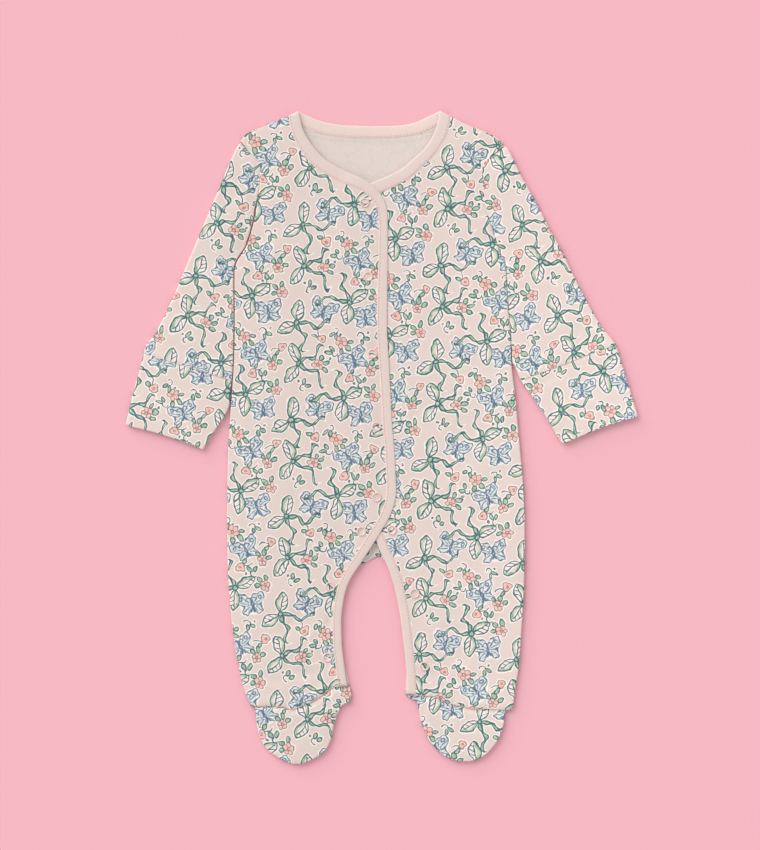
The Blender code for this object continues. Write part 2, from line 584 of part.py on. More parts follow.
def foot_grid(table, ankle, columns):
    """Grid of (x, y) over a foot, its first row along the ankle seam."""
    first_outer, first_inner = table[0][:2], table[0][2:4]
    grid = []
    for outer_x, outer_y, inner_x, inner_y, follows in table:
        line = []
        for share in columns:
            x, y = mix((outer_x, outer_y), (inner_x, inner_y), share)
            first_x, first_y = mix(first_outer, first_inner, share)
            y += follows * (ankle(first_x) - SEAM_GAP - first_y)
            line.append((x, y))
        grid.append(line)
    return grid


def foot_columns(side, table):
    """Shares of a foot's rows at which its points meet those of the front's last row."""
    front_inner = seam_x(FRONT_BINDING[side], side)(FRONT_BINDING[side][-1][0])
    outer, inner = table[0][0], table[0][2]
    places = [mix((body_edge(side, -math.inf),), (front_inner,), share)[0]
              for share in FRONT_COLUMNS]
    shares = [(x - outer) / (inner - outer) for x in places]
    low, high = FOOT_FRONT_COLUMNS
    return sorted([share for share in shares if low < share < high] + list(FOOT_END_COLUMNS))


def foot(side, table):
    outline = [row[:2] for row in table] + [row[2:4] for row in reversed(table)]

    def height(x, y):
        rise = math.sin(math.pi / 2 * min(distance((x, y), outline) / SEAM_ROLL, 1.0))
        return SEAM_LIFT + (OPEN_LIFT - SEAM_LIFT) * rise

    upper = foot_grid(table, FRONT_ANKLE[side], foot_columns(side, table))
    sole = foot_grid(table, BACK_ANKLE[side], SOLE_COLUMNS)
    cloth_wall(f"foot_upper_{side}", [raised(upper, height)])
    cloth_wall(f"foot_sole_{side}", [raised(sole, flat)])


# ---- ring snaps ----

def snap(name, side, x, y):
    """An open ring lying on a front."""
    ground = max(front_lift(side, x + SNAP_OUTER * math.cos(t), y + SNAP_OUTER * math.sin(t))
                 for t in (k * math.pi / 4 for k in range(8)))
    shoulder = SNAP_SHOULDER * SNAP_HEIGHT
    profile = ((SNAP_INNER, 0.0), (SNAP_INNER + SNAP_ROUND, shoulder),
               ((SNAP_INNER + SNAP_OUTER) / 2, SNAP_HEIGHT), (SNAP_OUTER - SNAP_ROUND, shoulder),
               (SNAP_OUTER, 0.0))
    mesh = bmesh.new()
    rings = []
    for k in range(SNAP_SEGMENTS):
        turn = 2 * math.pi * k / SNAP_SEGMENTS
        rings.append([mesh.verts.new((radius * math.cos(turn) * MM, radius * math.sin(turn) * MM,
                                      rise * MM)) for radius, rise in profile])
    for k, ring in enumerate(rings):
        following = rings[(k + 1) % SNAP_SEGMENTS]
        for m in range(len(profile)):
            n = (m + 1) % len(profile)
            mesh.faces.new((ring[m], ring[n], following[n], following[m]))
    item = add_object(name, mesh, SNAP)
    item.location = Vector((x, y, ground + WALL + SEAM_GAP)) * MM


def snaps():
    for group, side, places in (("front", "right", FRONT_SNAPS),
                                ("leg_right", "right", RIGHT_LEG_SNAPS),
                                ("leg_left", "left", LEFT_LEG_SNAPS)):
        for number, (x, y) in enumerate(places, 1):
            snap(f"snap_{group}_{number}", side, x, y)


def build():
    for item in list(bpy.data.objects):
        bpy.data.objects.remove(item)
    back_panel()
    front("right")
    front("left")
    sleeve("right", RIGHT_SLEEVE)
    sleeve("left", LEFT_SLEEVE)
    cuff("right", RIGHT_CUFF)
    cuff("left", LEFT_CUFF)
    foot("right", RIGHT_FOOT)
    foot("left", LEFT_FOOT)
    front_binding("right")
    front_binding("left")
    back_neck_binding()
    binding("binding_back_leg_right", binding_sections(BACK_LEG_RIGHT, flat))
    binding("binding_back_leg_left", binding_sections(BACK_LEG_LEFT, flat))
    snaps()


build()
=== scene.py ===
"""Looks of the footed baby sleepsuit, laid flat: thin cloth on the form of its solids.

Sides are the wearer's: the wearer's right is at -X. Tables and sizes are in millimetres,
x across and y up the garment, and the table that it lies on is z = 0.
"""

import functools
import math

import bpy
import numpy as np
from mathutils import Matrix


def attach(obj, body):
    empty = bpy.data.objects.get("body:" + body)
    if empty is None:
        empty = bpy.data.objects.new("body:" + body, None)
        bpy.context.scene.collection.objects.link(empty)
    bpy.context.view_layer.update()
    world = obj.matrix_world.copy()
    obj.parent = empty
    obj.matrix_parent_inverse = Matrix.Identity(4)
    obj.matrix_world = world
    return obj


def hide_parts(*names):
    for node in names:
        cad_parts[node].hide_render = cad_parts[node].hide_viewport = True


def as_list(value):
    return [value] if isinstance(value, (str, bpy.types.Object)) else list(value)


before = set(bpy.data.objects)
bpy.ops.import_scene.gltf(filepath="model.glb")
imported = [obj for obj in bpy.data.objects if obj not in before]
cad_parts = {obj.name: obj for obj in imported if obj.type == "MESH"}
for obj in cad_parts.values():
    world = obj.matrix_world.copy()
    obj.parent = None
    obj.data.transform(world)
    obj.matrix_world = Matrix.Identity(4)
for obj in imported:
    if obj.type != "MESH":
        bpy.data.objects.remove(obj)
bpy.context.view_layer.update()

MM = 0.001
TILE = 100.0              # the print repeats after this, and it is the unit of the UV map
OUTWARD = {"right": -1, "left": 1}

# ---- cloth ----
WALL = 1.1                # thickness of a panel's solid, whose top the cloth lies at
CLOTH = 0.7               # one layer of jersey
BINDING_CLOTH = 0.35      # the strip that is folded round an edge
BINDING_WALL = 1.55       # both its layers, with the panel between them
SEAM_GAP = 0.3
BODY_GAP = 0.5            # between a sleeve and the side of the body that it lies against
SEAM_LIFT = 2.5           # underside of the top layer at the sewn sides
OPEN_LIFT = 2.9           # and away from them
SEAM_ROLL = 12.0          # distance over which it rises
OVERLAP_RISE = 0.9        # how much more the right front is lifted over the left binding
OVERLAP_FALL = 0.45       # how much of that it has lost at its own edge
OVERLAP_FLAT = 10.0       # how far it stays lifted beside the left front's edge
OVERLAP_SLOPE = 16.0      # and over what distance it then comes down
PRESS = 0.75              # how much lower the left front lies under the right one
PRESS_REACH = 16.0
STEP = 2.6                # spacing of the cloth's points
EDGE_STEPS = (0.0, 0.14, 0.36, 0.7, 1.3, 2.4, 4.0)  # distances of the points near a rolled edge
EDGE_ROLL = 0.7           # radius over which a sewn edge turns down
EDGE_REST = 0.4           # height at which a side seam's edge ends
EDGE_INSET = 0.95         # the layer below stops this far inside that edge
REST = 0.03               # the lowest layer's underside
LAP = 0.8                 # how far a front's edge reaches under the sleeve's
LAP_DROP = 0.35           # and how much lower it lies there
HEM_LAP = 0.6             # how far a foot's edge reaches under the leg's
HEM_DROP = 0.95           # and how much lower its top lies there
TUCK = 0.33               # share of a binding's width that its panel reaches into it

# ---- outline of the body: y, x ----
SHOULDER = {
    "right": ((293.6, -75.5), (289, -84.4), (284.9, -95.1), (279, -107.1), (273.1, -120.3),
        (266.7, -127.5)),
    "left": ((294, 51.9), (289.4, 60.8), (284.9, 69), (280.4, 78), (276.1, 88.1), (268.9, 102),
        (262.3, 110.2))}
# Armhole seam down to the armpit, then the side seam down to the ankle.
SIDE = {
    "right": ((266.7, -127.5), (256, -118.7), (244.5, -109.9), (228.6, -110.2), (207.5, -113.3),
        (195.5, -115), (183.6, -118.2), (171.5, -122.2), (164.7, -126.3), (157, -131.2),
        (150, -133), (105.2, -132.8), (74.2, -133.2), (48.4, -134.6), (-2.7, -138.1),
        (-31.5, -139.1), (-68.8, -139.5), (-117.2, -139), (-144.1, -137.3), (-179.2, -133.9),
        (-208.2, -128.8), (-228.8, -123.4), (-240.3, -118.6)),
    "left": ((262.3, 110.2), (252.2, 97.1), (241, 90.1), (221.3, 91.1), (204.7, 93.2),
        (196.5, 96.1), (188.1, 98.6), (175.5, 102.9), (163.4, 106.9), (152, 111.2), (127.9, 112.6),
        (111.4, 113.8), (94.8, 115.4), (67.5, 116.4), (36.6, 120), (7.7, 122.5), (-23.4, 125.4),
        (-52.2, 127.6), (-89.4, 128.5), (-133.8, 127.8), (-175.1, 125.4), (-207.7, 122.8),
        (-225.5, 120), (-244.8, 117.6))}
ARMPIT = {"right": 171.5, "left": 175.5}
LEG_END = -195.0          # below it the rows slant toward the ankle
NECK_LEVEL = 268.3        # lowest line of the back neck
CROTCH_LEVEL = -107.0     # highest line of the crotch
CROTCH_MIDDLE = (CROTCH_LEVEL, -3.5)
# Middle of the back, where its two halves meet.
MIDDLE = ((NECK_LEVEL, -10.0), CROTCH_MIDDLE)
# Crotch of the back between the legs.
CROTCH = {
    "right": (CROTCH_MIDDLE, (-108.4, -6.9), (-110.6, -10.4), (-112.6, -14.6), (-114.4, -22),
        (-117, -31.3)),
    "left": (CROTCH_MIDDLE, (-108.4, -0.4), (-110.6, 1.3), (-112.6, 4.6), (-114.4, 13.6))}
# Ankle seam of the fronts, where the foot uppers are sewn on: x, y. The back's is straight.
ANKLE = {
    "right": ((-119.5, -240.3), (-113.8, -242), (-101.3, -241.4), (-90.5, -241.8), (-82.7, -244.4),
        (-70.3, -240.6), (-63.4, -237.6), (-53.3, -231.3), (-44.7, -224.8), (-40.4, -224),
        (-28, -225.2)),
    "left": ((20, -231.4), (31.1, -232.2), (44, -232.6), (49.3, -233.8), (59.8, -238.9),
        (74.2, -242.4), (84.5, -244.2), (95, -244), (112.1, -245.3), (118, -244.8))}

# ---- bindings: seam y, seam x, free edge x, free edge y ----
# Neck, front edge, crotch and leg. The right one lies over the left one.
FRONT_BINDING = {
    "right": ((288.9, -84.2, -75.3, 293.4), (283.3, -83.8, -73.5, 286.4), (276.1, -82, -72, 279.5),
        (264.4, -77.5, -67.6, 269.7), (253.1, -70.3, -61.3, 260.8), (242.1, -59.9, -52.5, 251),
        (235.1, -49.1, -43.6, 244.8), (229.5, -38.3, -33.4, 239.4), (224.9, -26.7, -21.4, 234.2),
        (221, -18.2, -11.8, 228.8), (215.1, -10.6, -2.8, 220.7), (209.5, -6.4, 1.7, 213.1),
        (202.3, -3.6, 4.6, 203.3), (186.5, -3.1, 5.1, 186.5), (162.6, -3.3, 5.1, 162.6),
        (128.2, -4.5, 4.7, 128.2), (102.4, -4.9, 4.4, 102.4), (67.3, -3, 6.2, 67.3),
        (38, -1.1, 7.7, 38), (8.7, 0.5, 9.2, 8.7), (-10.8, 2.2, 11, -10.8),
        (-30.3, 3.3, 12, -30.3), (-47, 3.9, 12.7, -48.6), (-55.7, 2.8, 11.2, -58.5),
        (-66.7, -0.7, 7.1, -70.6), (-83.8, -10.6, -3.3, -88.3), (-110, -26.9, -19.9, -114.5),
        (-119.6, -33.3, -26.2, -123.7), (-132.1, -39.2, -31.7, -134.7),
        (-146.3, -42.7, -34.8, -147.6), (-165.9, -44.5, -36.7, -165.9),
        (-184.8, -44.2, -36.3, -184.3), (-203.4, -42.1, -34.4, -201.7),
        (-216.9, -40.8, -32.6, -215.6), (-223.4, -40.3, -30.9, -223.9)),
    "left": ((288.6, 61.7, 51.8, 293.8), (281.5, 60.9, 50.1, 284.6), (272, 58.3, 47.6, 275.9),
        (262.6, 53, 43.7, 267.9), (254.5, 47.2, 38.6, 260.3), (242.8, 35.9, 28.7, 251),
        (231.5, 22.9, 17, 241.2), (225.9, 12.5, 7.7, 236.2), (221.8, 3.1, -1.8, 232.1),
        (217.6, -6.4, -11.3, 227.9), (214, -11.5, -19, 221.2), (209.9, -14.9, -23.2, 212.6),
        (202.2, -16.8, -25.2, 203), (162.2, -18.4, -26.8, 162.2), (123.5, -17.6, -26.1, 123.5),
        (74.9, -15, -23.5, 74.9), (33.5, -12.3, -20.8, 33.5), (2, -11.4, -19.9, 2),
        (-29.5, -12.2, -20.7, -29.5), (-45.7, -12.6, -21, -47.5), (-60.1, -10.6, -18.5, -63.7),
        (-74.5, -5.6, -12.7, -79), (-89.2, 1.9, -5.3, -93.1), (-98.8, 6, -1.7, -102.7),
        (-105.6, 9.1, 1.5, -109.2), (-114.6, 13.3, 5.5, -118), (-126.3, 17.6, 9.5, -129.3),
        (-143.8, 21.7, 13.5, -145.4), (-162.9, 24.9, 16.7, -163.8), (-178.2, 26.7, 18.6, -179),
        (-204.1, 29.4, 21.5, -204.8), (-223.8, 30.8, 22.7, -223.6), (-231.5, 31, 21.2, -230.6))}
UNDER_COVERED = (-95.0, 230.0)  # where the left one's free edge lies below the right front
OVER_SEEN = (-125.0, 262.0)     # where the right one's free edge may lie on the left front
NECK_MIDDLE = (NECK_LEVEL + SEAM_GAP, -10.0, -10.0, 279.8)
# From each shoulder to the middle of the back neck.
BACK_NECK = {
    "right": ((288.6, -83.9, -75.2, 293.1), (279.3, -71.5, -63.5, 287.6),
        (272.9, -55.5, -52.4, 283.7), (269.6, -34.2, -31.2, 280.5), NECK_MIDDLE),
    "left": ((288.2, 61, 51.6, 293.4), (278.8, 47, 40.5, 288), (272.2, 31, 28.2, 282.7),
        (269.4, 11.4, 10, 280.1), NECK_MIDDLE)}
# Inner leg edges of the back.
BACK_LEG = {
    "right": ((-117, -31.3, -24.4, -119.8), (-122, -34.9, -27.8, -125.4),
        (-133.5, -41, -33.2, -135.7), (-147.2, -44.3, -36.3, -148.3),
        (-166.3, -45.9, -37.9, -166.3), (-185, -45, -37, -184.3), (-203.9, -42.3, -34.4, -202.3),
        (-214, -39.9, -31.8, -212.1), (-224.9, -37.4, -29.2, -222.4)),
    "left": ((-114.4, 13.6, 6, -117.6), (-118, 15.2, 7.4, -120.9), (-128.7, 19, 11.2, -131.2),
        (-145.1, 23.2, 15.2, -146.5), (-163.6, 26.4, 18.4, -164.5), (-179.2, 28, 20, -179.8),
        (-204.8, 30.2, 22.2, -205), (-223.4, 29.6, 21.5, -222.4), (-230.6, 29.2, 21.1, -228.2))}

# ---- rows across sleeves, cuffs and feet ----
# Inner end y, outer end x, outer end y. The inner end lies on the body.
SLEEVE = {
    "right": ((256, -128, 266), (244.5, -132.5, 257.3), (231, -137.9, 245.2), (213.5, -144.6, 229),
        (194, -152, 211.5), (181, -160, 192.5), (171.5, -168.5, 172.6), (157, -176.7, 153),
        (146, -184.2, 134.5), (128, -192.8, 115.5), (100, -202.3, 96.5), (78, -208, 87.8),
        (62, -212.8, 81.6), (50.6, -214.4, 75.6)),
    "left": ((252.2, 111, 262), (244.5, 114.3, 258.3), (231, 119.6, 246.8), (213.5, 127.8, 230.4),
        (201, 136.5, 215.2), (187, 145.2, 198.2), (175.5, 154.2, 181.2), (162, 163.2, 165),
        (146, 171.2, 147.4), (128, 180.8, 129.2), (106, 190.3, 110.9), (85, 199.9, 96.2),
        (67.5, 206.2, 89.2), (51, 210.4, 83.4))}
LEFT_SLEEVE_END = 124.4   # x of the inner end of the left sleeve's last row
LEFT_SLEEVE_LEAVES = 67.5  # y at which its inner edge leaves the body
# Outer end x, y, inner end x, y.
CUFF = {
    "right": ((-214.6, 75.2, -135.6, 50.2), (-217.3, 63, -136.2, 40), (-221, 50.3, -137, 30),
        (-225.3, 34.6, -141.2, 19.6), (-228.4, 20.5, -148.2, 9), (-230.3, 13, -156.2, -2.4),
        (-228.6, 9.9, -160.9, -11.6)),
    "left": ((210.6, 83, 124.8, 50.6), (212.9, 75, 128, 45.6), (217.4, 60.5, 133.6, 38.4),
        (221.5, 47.8, 139.8, 29), (225.2, 35.3, 146.4, 19.4), (228.5, 25, 153, 8.8),
        (230.3, 18.6, 159.2, -3), (229, 17.8, 163.8, -6.2))}
# The same, and how far the row follows the ankle seam.
FOOT = {
    "right": ((-114.4, -242.2, -28.6, -225.6, 1), (-114.1, -245.2, -27.2, -231, 0.9),
        (-113.9, -248.2, -28.6, -237.8, 0.75), (-113.6, -251.5, -36.2, -241.4, 0.6),
        (-112.9, -257.4, -39.8, -248.6, 0.4), (-111.4, -265.1, -43.1, -258.8, 0.2),
        (-108.9, -272.4, -45.4, -270.3, 0), (-105.2, -278.8, -48.8, -278.4, 0),
        (-100.3, -283.6, -53.7, -284.4, 0), (-94.2, -287.7, -60.2, -288.6, 0),
        (-87.6, -291.4, -66.8, -291.6, 0), (-80.5, -293.9, -73.2, -293.9, 0)),
    "left": ((111.2, -245.6, 20.8, -231.8, 1), (110.7, -248, 24, -234.2, 0.9),
        (110.2, -250.6, 31, -237.2, 0.75), (109.9, -254, 32.6, -243.8, 0.6),
        (109.3, -258.6, 34.2, -252.4, 0.4), (107.6, -264.9, 36.3, -260.6, 0.2),
        (105, -270.7, 39.2, -267.4, 0), (101.3, -276.6, 43.4, -274.3, 0),
        (97, -281.8, 48.9, -280.8, 0), (92, -286.4, 54.5, -285.6, 0),
        (85.6, -289.8, 60.7, -289.2, 0), (78.2, -291.7, 67.2, -291.5, 0))}

# ---- soft folds: start x, y, end x, y, half width, height (a trough is negative) ----
FOLDS = (
    (-124, 262, -104, 236, 9, -0.7),   # right shoulder tip
    (104, 258, 88, 236, 9, -0.7),      # left shoulder tip
    (-118, 168, -88, 196, 10, -0.5),   # right armpit
    (100, 172, 70, 202, 10, -0.5),     # left armpit
    (-56, -140, -84, -176, 9, -0.7),   # right knee
    (-60, -176, -96, -196, 9, 0.5),    # below the right knee
    (46, -214, 92, -196, 9, -0.5),     # above the left ankle
    (-58, -214, -84, -206, 9, -0.6),   # above the right ankle
    (-44, 60, -100, 84, 12, 0.4),      # across the right front
    (36, -44, 96, -24, 12, 0.4))       # across the left front

# ---- where the ring snaps sit: x, y ----
FRONT_SNAPS = ((-15.9, 210.8), (-12.7, 144.6), (-8.7, 75.1), (-5.2, 9.7), (-5, -53.8))
LEG_SNAPS = {
    "right": ((-18.6, -84.4), (-46.8, -134.2), (-49.1, -197.8)),
    "left": ((8.7, -83.5), (29.2, -140.4), (37.9, -205.7))}

# ---- smaller creases of each piece: start x, y, end x, y, half width, height ----
CREASES = {
    "front_right": ((-112, 268, -96, 244, 4.5, -0.5), (-100, 226, -78, 238, 6, 0.35),
        (-114, 172, -84, 190, 4, -0.5), (-122, 150, -96, 170, 4, 0.4),
        (-128, 128, -104, 136, 5, -0.35), (-60, 150, -34, 162, 6, 0.25),
        (-132, 40, -96, 52, 5, -0.3), (-134, -14, -102, -4, 5, -0.3), (-30, 32, -62, 44, 6, -0.3),
        (-22, -40, -54, -52, 6, 0.3), (-46, -122, -78, -136, 5, 0.35),
        (-52, -150, -86, -170, 4.5, -0.5), (-43, -144, -62, -184, 3.5, -0.7),
        (-49, -134, -72, -176, 4, 0.45), (-128, -150, -104, -160, 5, -0.35),
        (-60, -186, -92, -204, 4, 0.45), (-50, -206, -76, -212, 3.5, -0.55),
        (-112, -204, -92, -222, 4, -0.45), (-104, -226, -80, -230, 3.5, 0.4),
        (-72, -222, -58, -216, 3, 0.4)),
    "front_left": ((94, 262, 80, 240, 4.5, -0.5), (60, 232, 80, 222, 6, 0.35),
        (96, 176, 66, 196, 4, -0.5), (104, 154, 78, 174, 4, 0.4), (108, 132, 86, 140, 5, -0.35),
        (20, 150, 46, 160, 6, 0.25), (112, 60, 84, 68, 5, -0.3), (118, -6, 86, 4, 5, -0.35),
        (30, 20, 58, 30, 6, -0.3), (26, -54, 58, -46, 6, 0.3), (30, -128, 62, -142, 5, 0.35),
        (38, -160, 72, -174, 4.5, -0.45), (120, -140, 96, -150, 5, -0.35),
        (44, -196, 78, -206, 4, 0.45), (40, -214, 66, -220, 3.5, -0.5),
        (112, -206, 92, -220, 4, -0.45), (100, -230, 78, -234, 3.5, 0.4)),
    "sleeve_right": ((-126, 168, -152, 160, 4.5, -0.5), (-132, 150, -164, 136, 4, 0.4),
        (-138, 126, -170, 118, 5, -0.4), (-142, 96, -188, 104, 6, 0.35),
        (-150, 74, -190, 84, 4.5, -0.4), (-196, 92, -206, 70, 4, -0.35),
        (-130, 230, -150, 200, 7, -0.35)),
    "sleeve_left": ((108, 170, 134, 160, 4.5, -0.5), (114, 150, 148, 138, 4, 0.4),
        (120, 124, 156, 118, 5, -0.4), (126, 98, 172, 106, 6, 0.35), (136, 74, 178, 82, 4.5, -0.4),
        (186, 98, 200, 74, 4, -0.35), (112, 226, 134, 198, 7, -0.35)),
    "cuff_right": ((-144, 44, -176, 52, 4, -0.35), (-212, 56, -222, 26, 5, -0.4),
        (-160, 12, -196, 30, 6, 0.35)),
    "cuff_left": ((138, 46, 170, 54, 4, -0.35), (206, 62, 218, 34, 5, -0.4),
        (156, 14, 192, 32, 6, 0.35)),
    "foot_right": ((-104, -250, -84, -262, 4.5, -0.4), (-46, -246, -66, -258, 4.5, 0.4),
        (-70, -272, -84, -284, 5, 0.3)),
    "foot_left": ((102, -252, 84, -262, 4.5, -0.4), (42, -250, 60, -260, 4.5, 0.4),
        (66, -272, 80, -282, 5, 0.3))}
# The same on the side that lies down, as troughs lifted off the table.
BACK_CREASES = ((-104, 240, -70, 214, 7, 0.45), (78, 236, 46, 216, 6, 0.4),
    (-118, 160, -76, 176, 6, 0.5), (98, 158, 62, 180, 7, 0.4), (-126, 96, -80, 84, 8, 0.35),
    (104, 70, 58, 88, 6, 0.45), (-40, 44, 22, 30, 9, 0.3), (-128, -22, -84, -8, 6, 0.4),
    (116, -40, 70, -26, 7, 0.35), (-52, -84, -14, -66, 6, 0.5), (40, -88, 8, -70, 6, 0.45),
    (-120, -140, -74, -156, 7, 0.4), (112, -150, 60, -138, 6, 0.45),
    (-62, -196, -98, -206, 5, 0.5), (50, -206, 94, -212, 5, 0.5), (-186, 120, -150, 104, 7, 0.45),
    (-160, 176, -134, 152, 6, 0.4), (174, 118, 140, 100, 7, 0.4), (150, 172, 126, 150, 6, 0.45),
    (-206, 44, -170, 24, 6, 0.35), (204, 50, 168, 30, 6, 0.35), (-92, -258, -62, -266, 5, 0.4),
    (88, -256, 56, -264, 5, 0.4))

# ---- each piece's own waves, and how its print is turned, in degrees, and moved ----
SEED = {"front_right": 1.0, "front_left": 4.0, "sleeve_right": 7.0, "sleeve_left": 11.0,
        "cuff_right": 13.0, "cuff_left": 17.0, "foot_right": 19.0, "foot_left": 23.0}
GRAIN = -3.2              # the same on the back, mirrored, and on both fronts
TURN = {"sleeve_right": -17.8, "sleeve_left": 21.7, "cuff_right": -14.0, "cuff_left": 18.0,
        "foot_right": 4.0, "foot_left": -9.0}
PRINT_SHIFT = {"front_right": (12, 8), "front_left": (61, 37), "back": (33, 70),
               "sleeve_right": (48, 21), "sleeve_left": (5, 64), "cuff_right": (77, 12),
               "cuff_left": (29, 46), "foot_right": (18, 55), "foot_left": (66, 83)}

# ---- snaps and sewing ----
RING_OUTER = 4.4
RING_INNER = 2.9
RING_HEIGHT = 1.0
RING_SEGMENTS = 40
RING_SUNK = 0.25          # how deep a ring sits in the cloth
# Its section, as shares of its width and its height.
RING = ((0.0, 0.0), (0.02, 0.35), (0.14, 0.72), (0.36, 0.97), (0.55, 1.0), (0.76, 0.9),
        (0.92, 0.6), (1.0, 0.2), (1.0, 0.0))
RING_DIMPLE = -0.35       # how far the cloth round a snap is drawn down
DIMPLE_REACH = 6.5
STITCH_LINE = 0.17        # share of a binding's width at which it is topstitched
STITCH_LENGTH = 2.1
STITCH_PITCH = 3.0
STITCH_RADIUS = 0.3
STITCH_SIDES = 6
STITCH_LEAN = 0.12        # how far each leans from the line, by turns
STITCH_ARCH = 0.12        # how much higher its middle lies than its ends
# Its sections: share of its length and of its radius.
STITCH_SHAPE = ((-0.5, 0.25), (-0.36, 0.85), (0.0, 1.0), (0.36, 0.85), (0.5, 0.25))
SEAM_PITCH = 2.2          # closer, where the thread shows in a seam
THIN_THREAD = 0.75        # how fine it looks in the sleeves' seams
THREAD_SUNK = 0.08        # and how deep it lies there


# ---- curves and distances, on arrays ----

def smooth_curve(points):
    """A smooth function through (key, value) points that never overshoots them."""
    keys, values = np.array(sorted(points), float).T
    spans = np.diff(keys)
    slopes = np.diff(values) / spans
    before, after = slopes[:-1], slopes[1:]
    product = before * after
    total = np.where(product > 0, before + after, 1.0)
    inner = np.where(product > 0, 2 * product / total, 0.0)
    tangents = np.concatenate([slopes[:1], inner, slopes[-1:]])

    def value(key):
        key = np.clip(key, keys[0], keys[-1])
        i = np.clip(np.searchsorted(keys, key, side="right") - 1, 0, len(spans) - 1)
        t = (key - keys[i]) / spans[i]
        return ((1 + 2 * t) * (1 - t) ** 2 * values[i]
                + t * (1 - t) ** 2 * spans[i] * tangents[i]
                + t * t * (3 - 2 * t) * values[i + 1]
                + t * t * (t - 1) * spans[i] * tangents[i + 1])
    return value


def table_curves(table):
    """One smooth function of a table's first column for each of its other columns."""
    return [smooth_curve([(row[0], row[column]) for row in table])
            for column in range(1, len(table[0]))]


def xy(x, y):
    return np.stack([x, y], axis=-1)


def raised(grid, z):
    """Flat points at their heights."""
    return np.concatenate([grid, z[..., None]], axis=-1)


def unit(vectors, tiny=1e-9):
    return vectors / (np.linalg.norm(vectors, axis=-1, keepdims=True) + tiny)


def widths(outer, inner):
    return np.hypot(*(outer - inner).T)


def travelled(*axes):
    """How far along a line each of its points is."""
    return np.concatenate([[0], np.cumsum(np.hypot(*(np.diff(axis) for axis in axes)))])


def ease(t):
    t = np.clip(t, 0.0, 1.0)
    return t * t * (3 - 2 * t)


def bump(away, reach):
    """1 at a line, down to 0 beyond its reach."""
    return np.exp(-(away / reach) ** 2)


def distance(x, y, line):
    """From points to a line of points, in the plane of the table."""
    best = np.full(np.shape(x), np.inf)
    for (ax, ay), (bx, by) in zip(line, line[1:]):
        dx, dy = bx - ax, by - ay
        t = np.clip(((x - ax) * dx + (y - ay) * dy) / (dx * dx + dy * dy + 1e-12), 0.0, 1.0)
        best = np.minimum(best, np.hypot(x - ax - t * dx, y - ay - t * dy))
    return best


def uneven(x, y, size, seed):
    """Smooth irregular waves from -1 to 1, of about the given size."""
    total = np.zeros(np.shape(x))
    for k in range(5):
        turn = seed * 1.7 + k * 2.4
        wave = size * (0.75 + 0.17 * k)
        along = x * math.cos(turn) + y * math.sin(turn)
        aside = y * math.cos(turn) - x * math.sin(turn)
        sway = 1.3 * np.sin(aside / wave * 1.9 + seed)
        total += np.sin(2 * math.pi * along / wave + sway + turn)
    return total / 3.2


# ---- lines of the body ----

CORNER_ROUNDING = 3.0     # of the left leg's lower corner
TIP = {side: SIDE[side][0][0] for side in SIDE}
BOTTOM = {side: SIDE[side][-1][0] for side in SIDE}
TOP = {side: SHOULDER[side][0][0] for side in SIDE}
SHOULDER_X = {side: smooth_curve(SHOULDER[side]) for side in SIDE}
SIDE_X = {side: smooth_curve(SIDE[side]) for side in SIDE}


def body_edge(side, y):
    """x of the body's outline at a height."""
    x = np.where(y > TIP[side], SHOULDER_X[side](y), SIDE_X[side](y))
    if side == "left":
        corner = np.clip(1 - (y - BOTTOM[side]) / CORNER_ROUNDING, 0.0, 1.0)
        x = x - CORNER_ROUNDING * (1 - np.sqrt(1 - corner ** 2))
    return x


def edge_line(side, high, low, step=4.0):
    ys = np.linspace(high, low, int((high - low) / step) + 2)
    return list(zip(body_edge(side, ys), ys))


def free_edge(side, low, high):
    """Points of a front binding's free edge between two heights, and its x at a height."""
    points = [row[2:] for row in FRONT_BINDING[side] if low < row[3] < high]
    return points, smooth_curve([(y, x) for x, y in points])


def straight(a, b):
    """y at an x, on the line through two points that start with y, x."""
    return lambda x: a[0] + (b[0] - a[0]) * (x - a[1]) / (b[1] - a[1])


SHOULDER_LINE = {side: [(x, y) for y, x in SHOULDER[side]] for side in SIDE}
SEWN = {side: [SHOULDER_LINE[side], edge_line(side, ARMPIT[side], BOTTOM[side])]
        for side in SIDE}
OUTLINE = {side: SHOULDER_LINE[side] + edge_line(side, TIP[side], BOTTOM[side], 2.0)[1:]
           for side in SIDE}
ARMHOLE = {side: edge_line(side, TIP[side], ARMPIT[side]) for side in SIDE}
FRONT_ANKLE = {side: smooth_curve(ANKLE[side]) for side in SIDE}
BACK_ANKLE = {side: straight(SIDE[side][-1], BACK_LEG[side][-1]) for side in SIDE}
UNDER_FREE_EDGE, UNDER_FREE_X = free_edge("left", *UNDER_COVERED)
OVER_FREE_EDGE, OVER_FREE_X = free_edge("right", *OVER_SEEN)


# ---- heights ----

# The height at which a sewn edge ends: at the side seam, up the armhole and at the shoulder.
EDGE_RESTS = {
    "right": ((ARMPIT["right"] - 6, EDGE_REST), (ARMPIT["right"] + 30, 0.7),
              (ARMPIT["right"] + 42, 2.5), (TIP["right"] - 34, 3.3), (TIP["right"] - 4, 3.2),
              (TIP["right"] + 2, EDGE_REST)),
    "left": ((LEFT_SLEEVE_LEAVES - 1, EDGE_REST), (LEFT_SLEEVE_LEAVES + 12, 2.25),
             (ARMPIT["left"], 2.4), (ARMPIT["left"] + 30, 3.0), (TIP["left"] - 30, 3.5),
             (TIP["left"] - 4, 3.3), (TIP["left"] + 2, EDGE_REST))}
# How much further the right sleeve's seam gapes at its armpit.
RIGHT_GAPE = ((150, 0), (158, 0.25), (164, 0.9), (170, 0.5), (176, 1.0), (183, 0.55),
              (190, 1.1), (197, 0.7), (204, 0.8), (211, 0.1), (218, 0))
